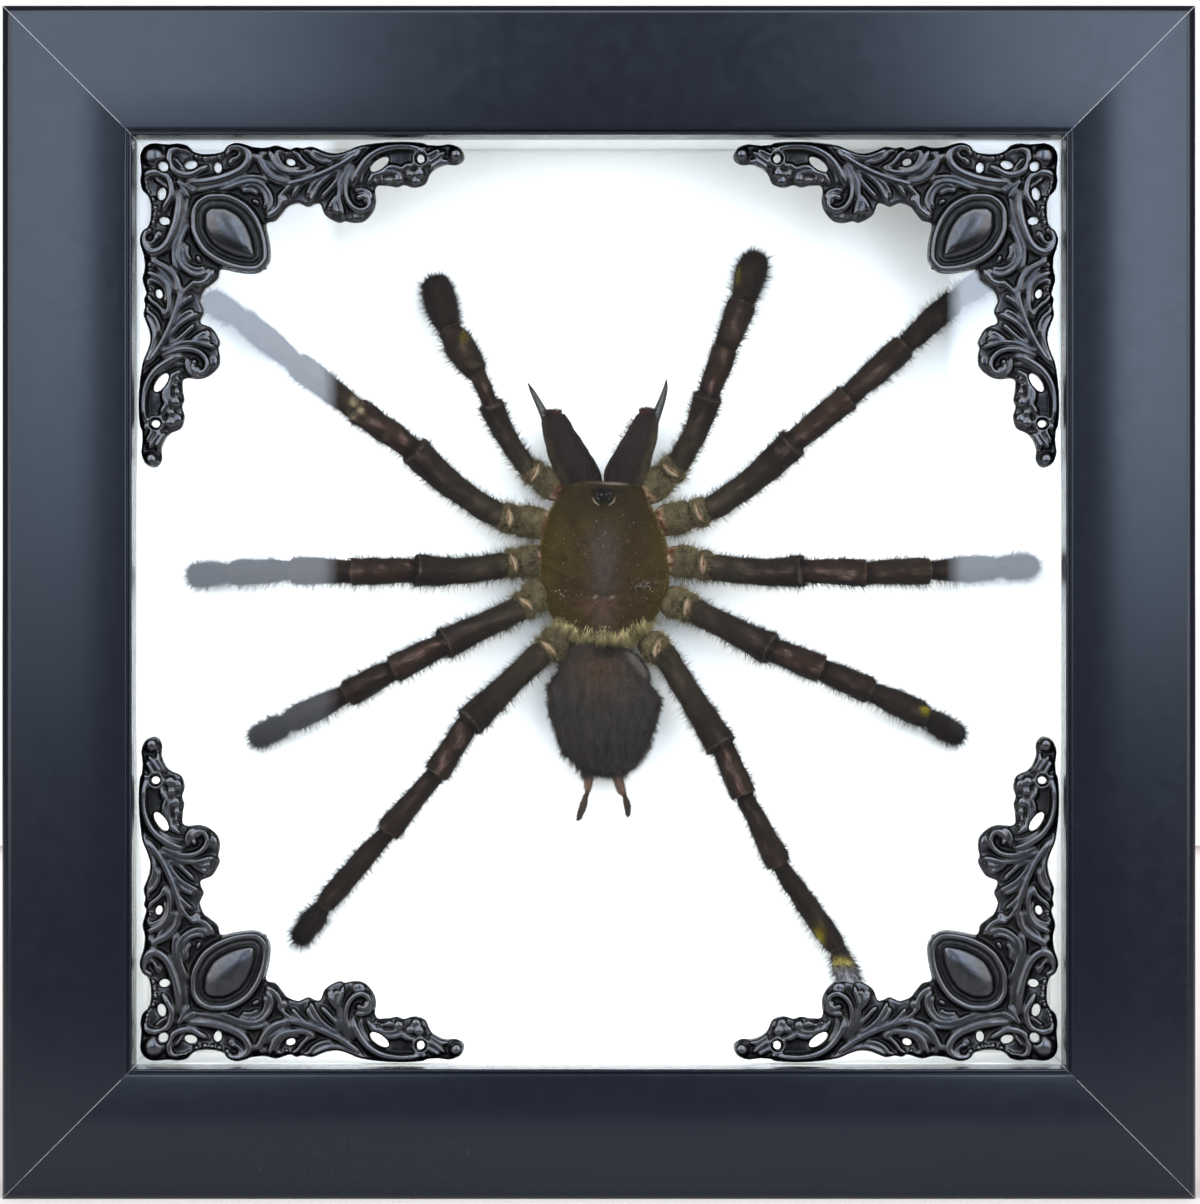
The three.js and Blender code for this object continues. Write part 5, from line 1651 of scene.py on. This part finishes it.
# Chelicerae: stations (x, z, rise, half width, half thickness) of the base, and of the fang
CHELICERAE = {
    "left": ([(-2.7, 20.2, 7.0, 3.3, 3.5), (-3.0, 22.0, 7.0, 3.75, 3.6), (-3.85, 24.2, 7.0, 3.85, 3.85),
              (-5.0, 26.3, 7.0, 3.75, 4.0), (-6.45, 29.2, 6.9, 3.5, 3.9), (-7.55, 31.8, 6.7, 3.0, 3.4),
              (-8.15, 33.4, 6.5, 2.65, 2.9), (-8.7, 34.8, 6.2, 2.2, 2.1), (-8.85, 35.7, 6.1, 1.3, 1.3)],
             [(-9.8, 34.0, 6.3, 0.9, 0.9), (-10.5, 35.8, 6.1, 0.85, 0.85), (-11.5, 37.8, 5.6, 0.7, 0.7),
              (-12.6, 39.9, 4.9, 0.48, 0.48), (-13.5, 41.6, 4.2, 0.1, 0.1)]),
    "right": ([(3.95, 20.2, 7.0, 3.3, 3.5), (4.45, 22.0, 7.0, 3.7, 3.6), (5.0, 24.2, 7.0, 3.9, 3.85),
               (6.0, 26.3, 7.0, 3.7, 4.0), (7.2, 29.2, 6.9, 3.25, 3.9), (8.1, 31.4, 6.7, 2.9, 3.4),
               (8.85, 33.5, 6.5, 2.45, 2.9), (9.3, 35.0, 6.2, 2.0, 2.1), (9.35, 35.9, 6.1, 1.2, 1.3)],
              [(10.5, 34.2, 6.3, 0.9, 0.9), (11.2, 36.2, 6.1, 0.85, 0.85), (12.0, 38.4, 5.6, 0.7, 0.7),
               (12.6, 40.5, 4.9, 0.48, 0.48), (12.8, 42.3, 4.2, 0.1, 0.1)]),
}


def make_chelicera(side):
    base, fang = CHELICERAE[side]
    stations, grid, _ = body_grid(base, JAW_SIDES, 2.3)
    share = np.linspace(0, 1, len(grid))[:, None]
    ragged = 0.3 * wobble(grid, 1.3, 33) * np.clip((share - 0.84) / 0.1, 0, 1)
    rough = 0.08 * wobble(grid, 3.0, 31) + 0.03 * wobble(grid, 0.9, 32) - 0.05
    grid = pushed_out(grid, rough + ragged)
    across = aside(grid, stations, 0.3) * (-1 if side == "left" else 1)
    inner = np.clip(0.6 - across, 0, 1)
    outer_side, inner_side = np.clip((across - 0.45) / 0.3, 0, 1), np.clip((-across - 0.6) / 0.3, 0, 1)
    sculpt = Sculpt()
    sculpt.add_grid(
        grid, grain=(grid[..., 0] - stations[:, 0][:, None], grid[..., 1], grid[..., 2] * STRETCH),
        olive=outer_side * np.clip(1.25 - 1.1 * share, 0, 1),
        reddish=0.7 * np.clip((share - 0.88) / 0.1, 0, 1) * inner + 0.3 * inner_side,
        dark=0.6 * np.clip(1 - share / 0.45, 0, 1) * np.clip(1 - across, 0, 1))
    rings = smooth_curve(fang, 7)
    tooth, _ = swept(centre_line(rings), rings[:, 3], rings[:, 4], 20)
    sculpt.add_grid(tooth, 2)
    add_jaw_hair(sculpt, grid, inner)
    middle_line = centre_line(stations)
    add_tip_hair(sculpt, grid, share, inner, unit(middle_line[-1] - middle_line[0]))
    if side == "right":
        add_side_bristles(sculpt, grid)
    piece = sculpt.place(f"chelicera_{side}_detail", [LIMB_SKIN, JAW_HAIR, FANG])
    ride(piece, "limb_hair", f"chelicera_{side}")


def add_jaw_hair(sculpt, grid, inner):
    roots, outward, flow, row, column = scatter(grid, 1.0, 4200)
    direction = outward * 0.16 + flow * 0.85 + jitter(roots, 0.1)
    at_tip = np.clip((row / len(grid) - 0.82) / 0.13, 0, 1) * inner[row, column]
    add_hairs(sculpt, roots, direction, rng.uniform(0.5, 0.9, len(roots)), 0.08, 1, warm=at_tip * 0.6)


def add_tip_hair(sculpt, grid, share, inner, axis):
    roots, outward, _, row, column = scatter(grid, np.clip((share - 0.9) / 0.05, 0, 1) + NEVER, 900)
    direction = outward * 0.2 + axis + leaning(roots, 1.1, 61) * 0.5 + jitter(roots, 0.2)
    add_hairs(sculpt, roots, direction, rng.uniform(0.5, 1.4, len(roots)), 0.15, 1,
              warm=rng.uniform(0.0, 0.6, len(roots)) * inner[row, column])


def add_side_bristles(sculpt, grid):
    """Stiff bristles on the inner edge, curved towards the fang"""
    for share in rng.uniform(0.42, 0.82, 15):
        row = int(share * (len(grid) - 1))
        edge = grid[row][np.argmin(grid[row][:, 0])]
        roots = edge + rng.normal(size=(4, 3)) * 0.3 + np.array([0.1, 0, 0])
        direction = np.array([-1.0, -0.1, 0.2]) + rng.normal(size=(4, 3)) * 0.3
        add_hairs(sculpt, roots, direction, rng.uniform(1.0, 1.8, 4), 0.16, 1,
                  droop=np.array([[0.1, 0, 0.9]]), warm=rng.uniform(0.4, 1.0, 4))


# ---------------------------------------------------------------- the whole specimen

add_camera()
add_light()
add_floor()
add_rails()
dress_cad_nodes()
add_ornaments()
make_cephalothorax()
make_abdomen()
for jaw_side in CHELICERAE:
    make_chelicera(jaw_side)
for limb_name in LIMBS:
    make_limb(limb_name)
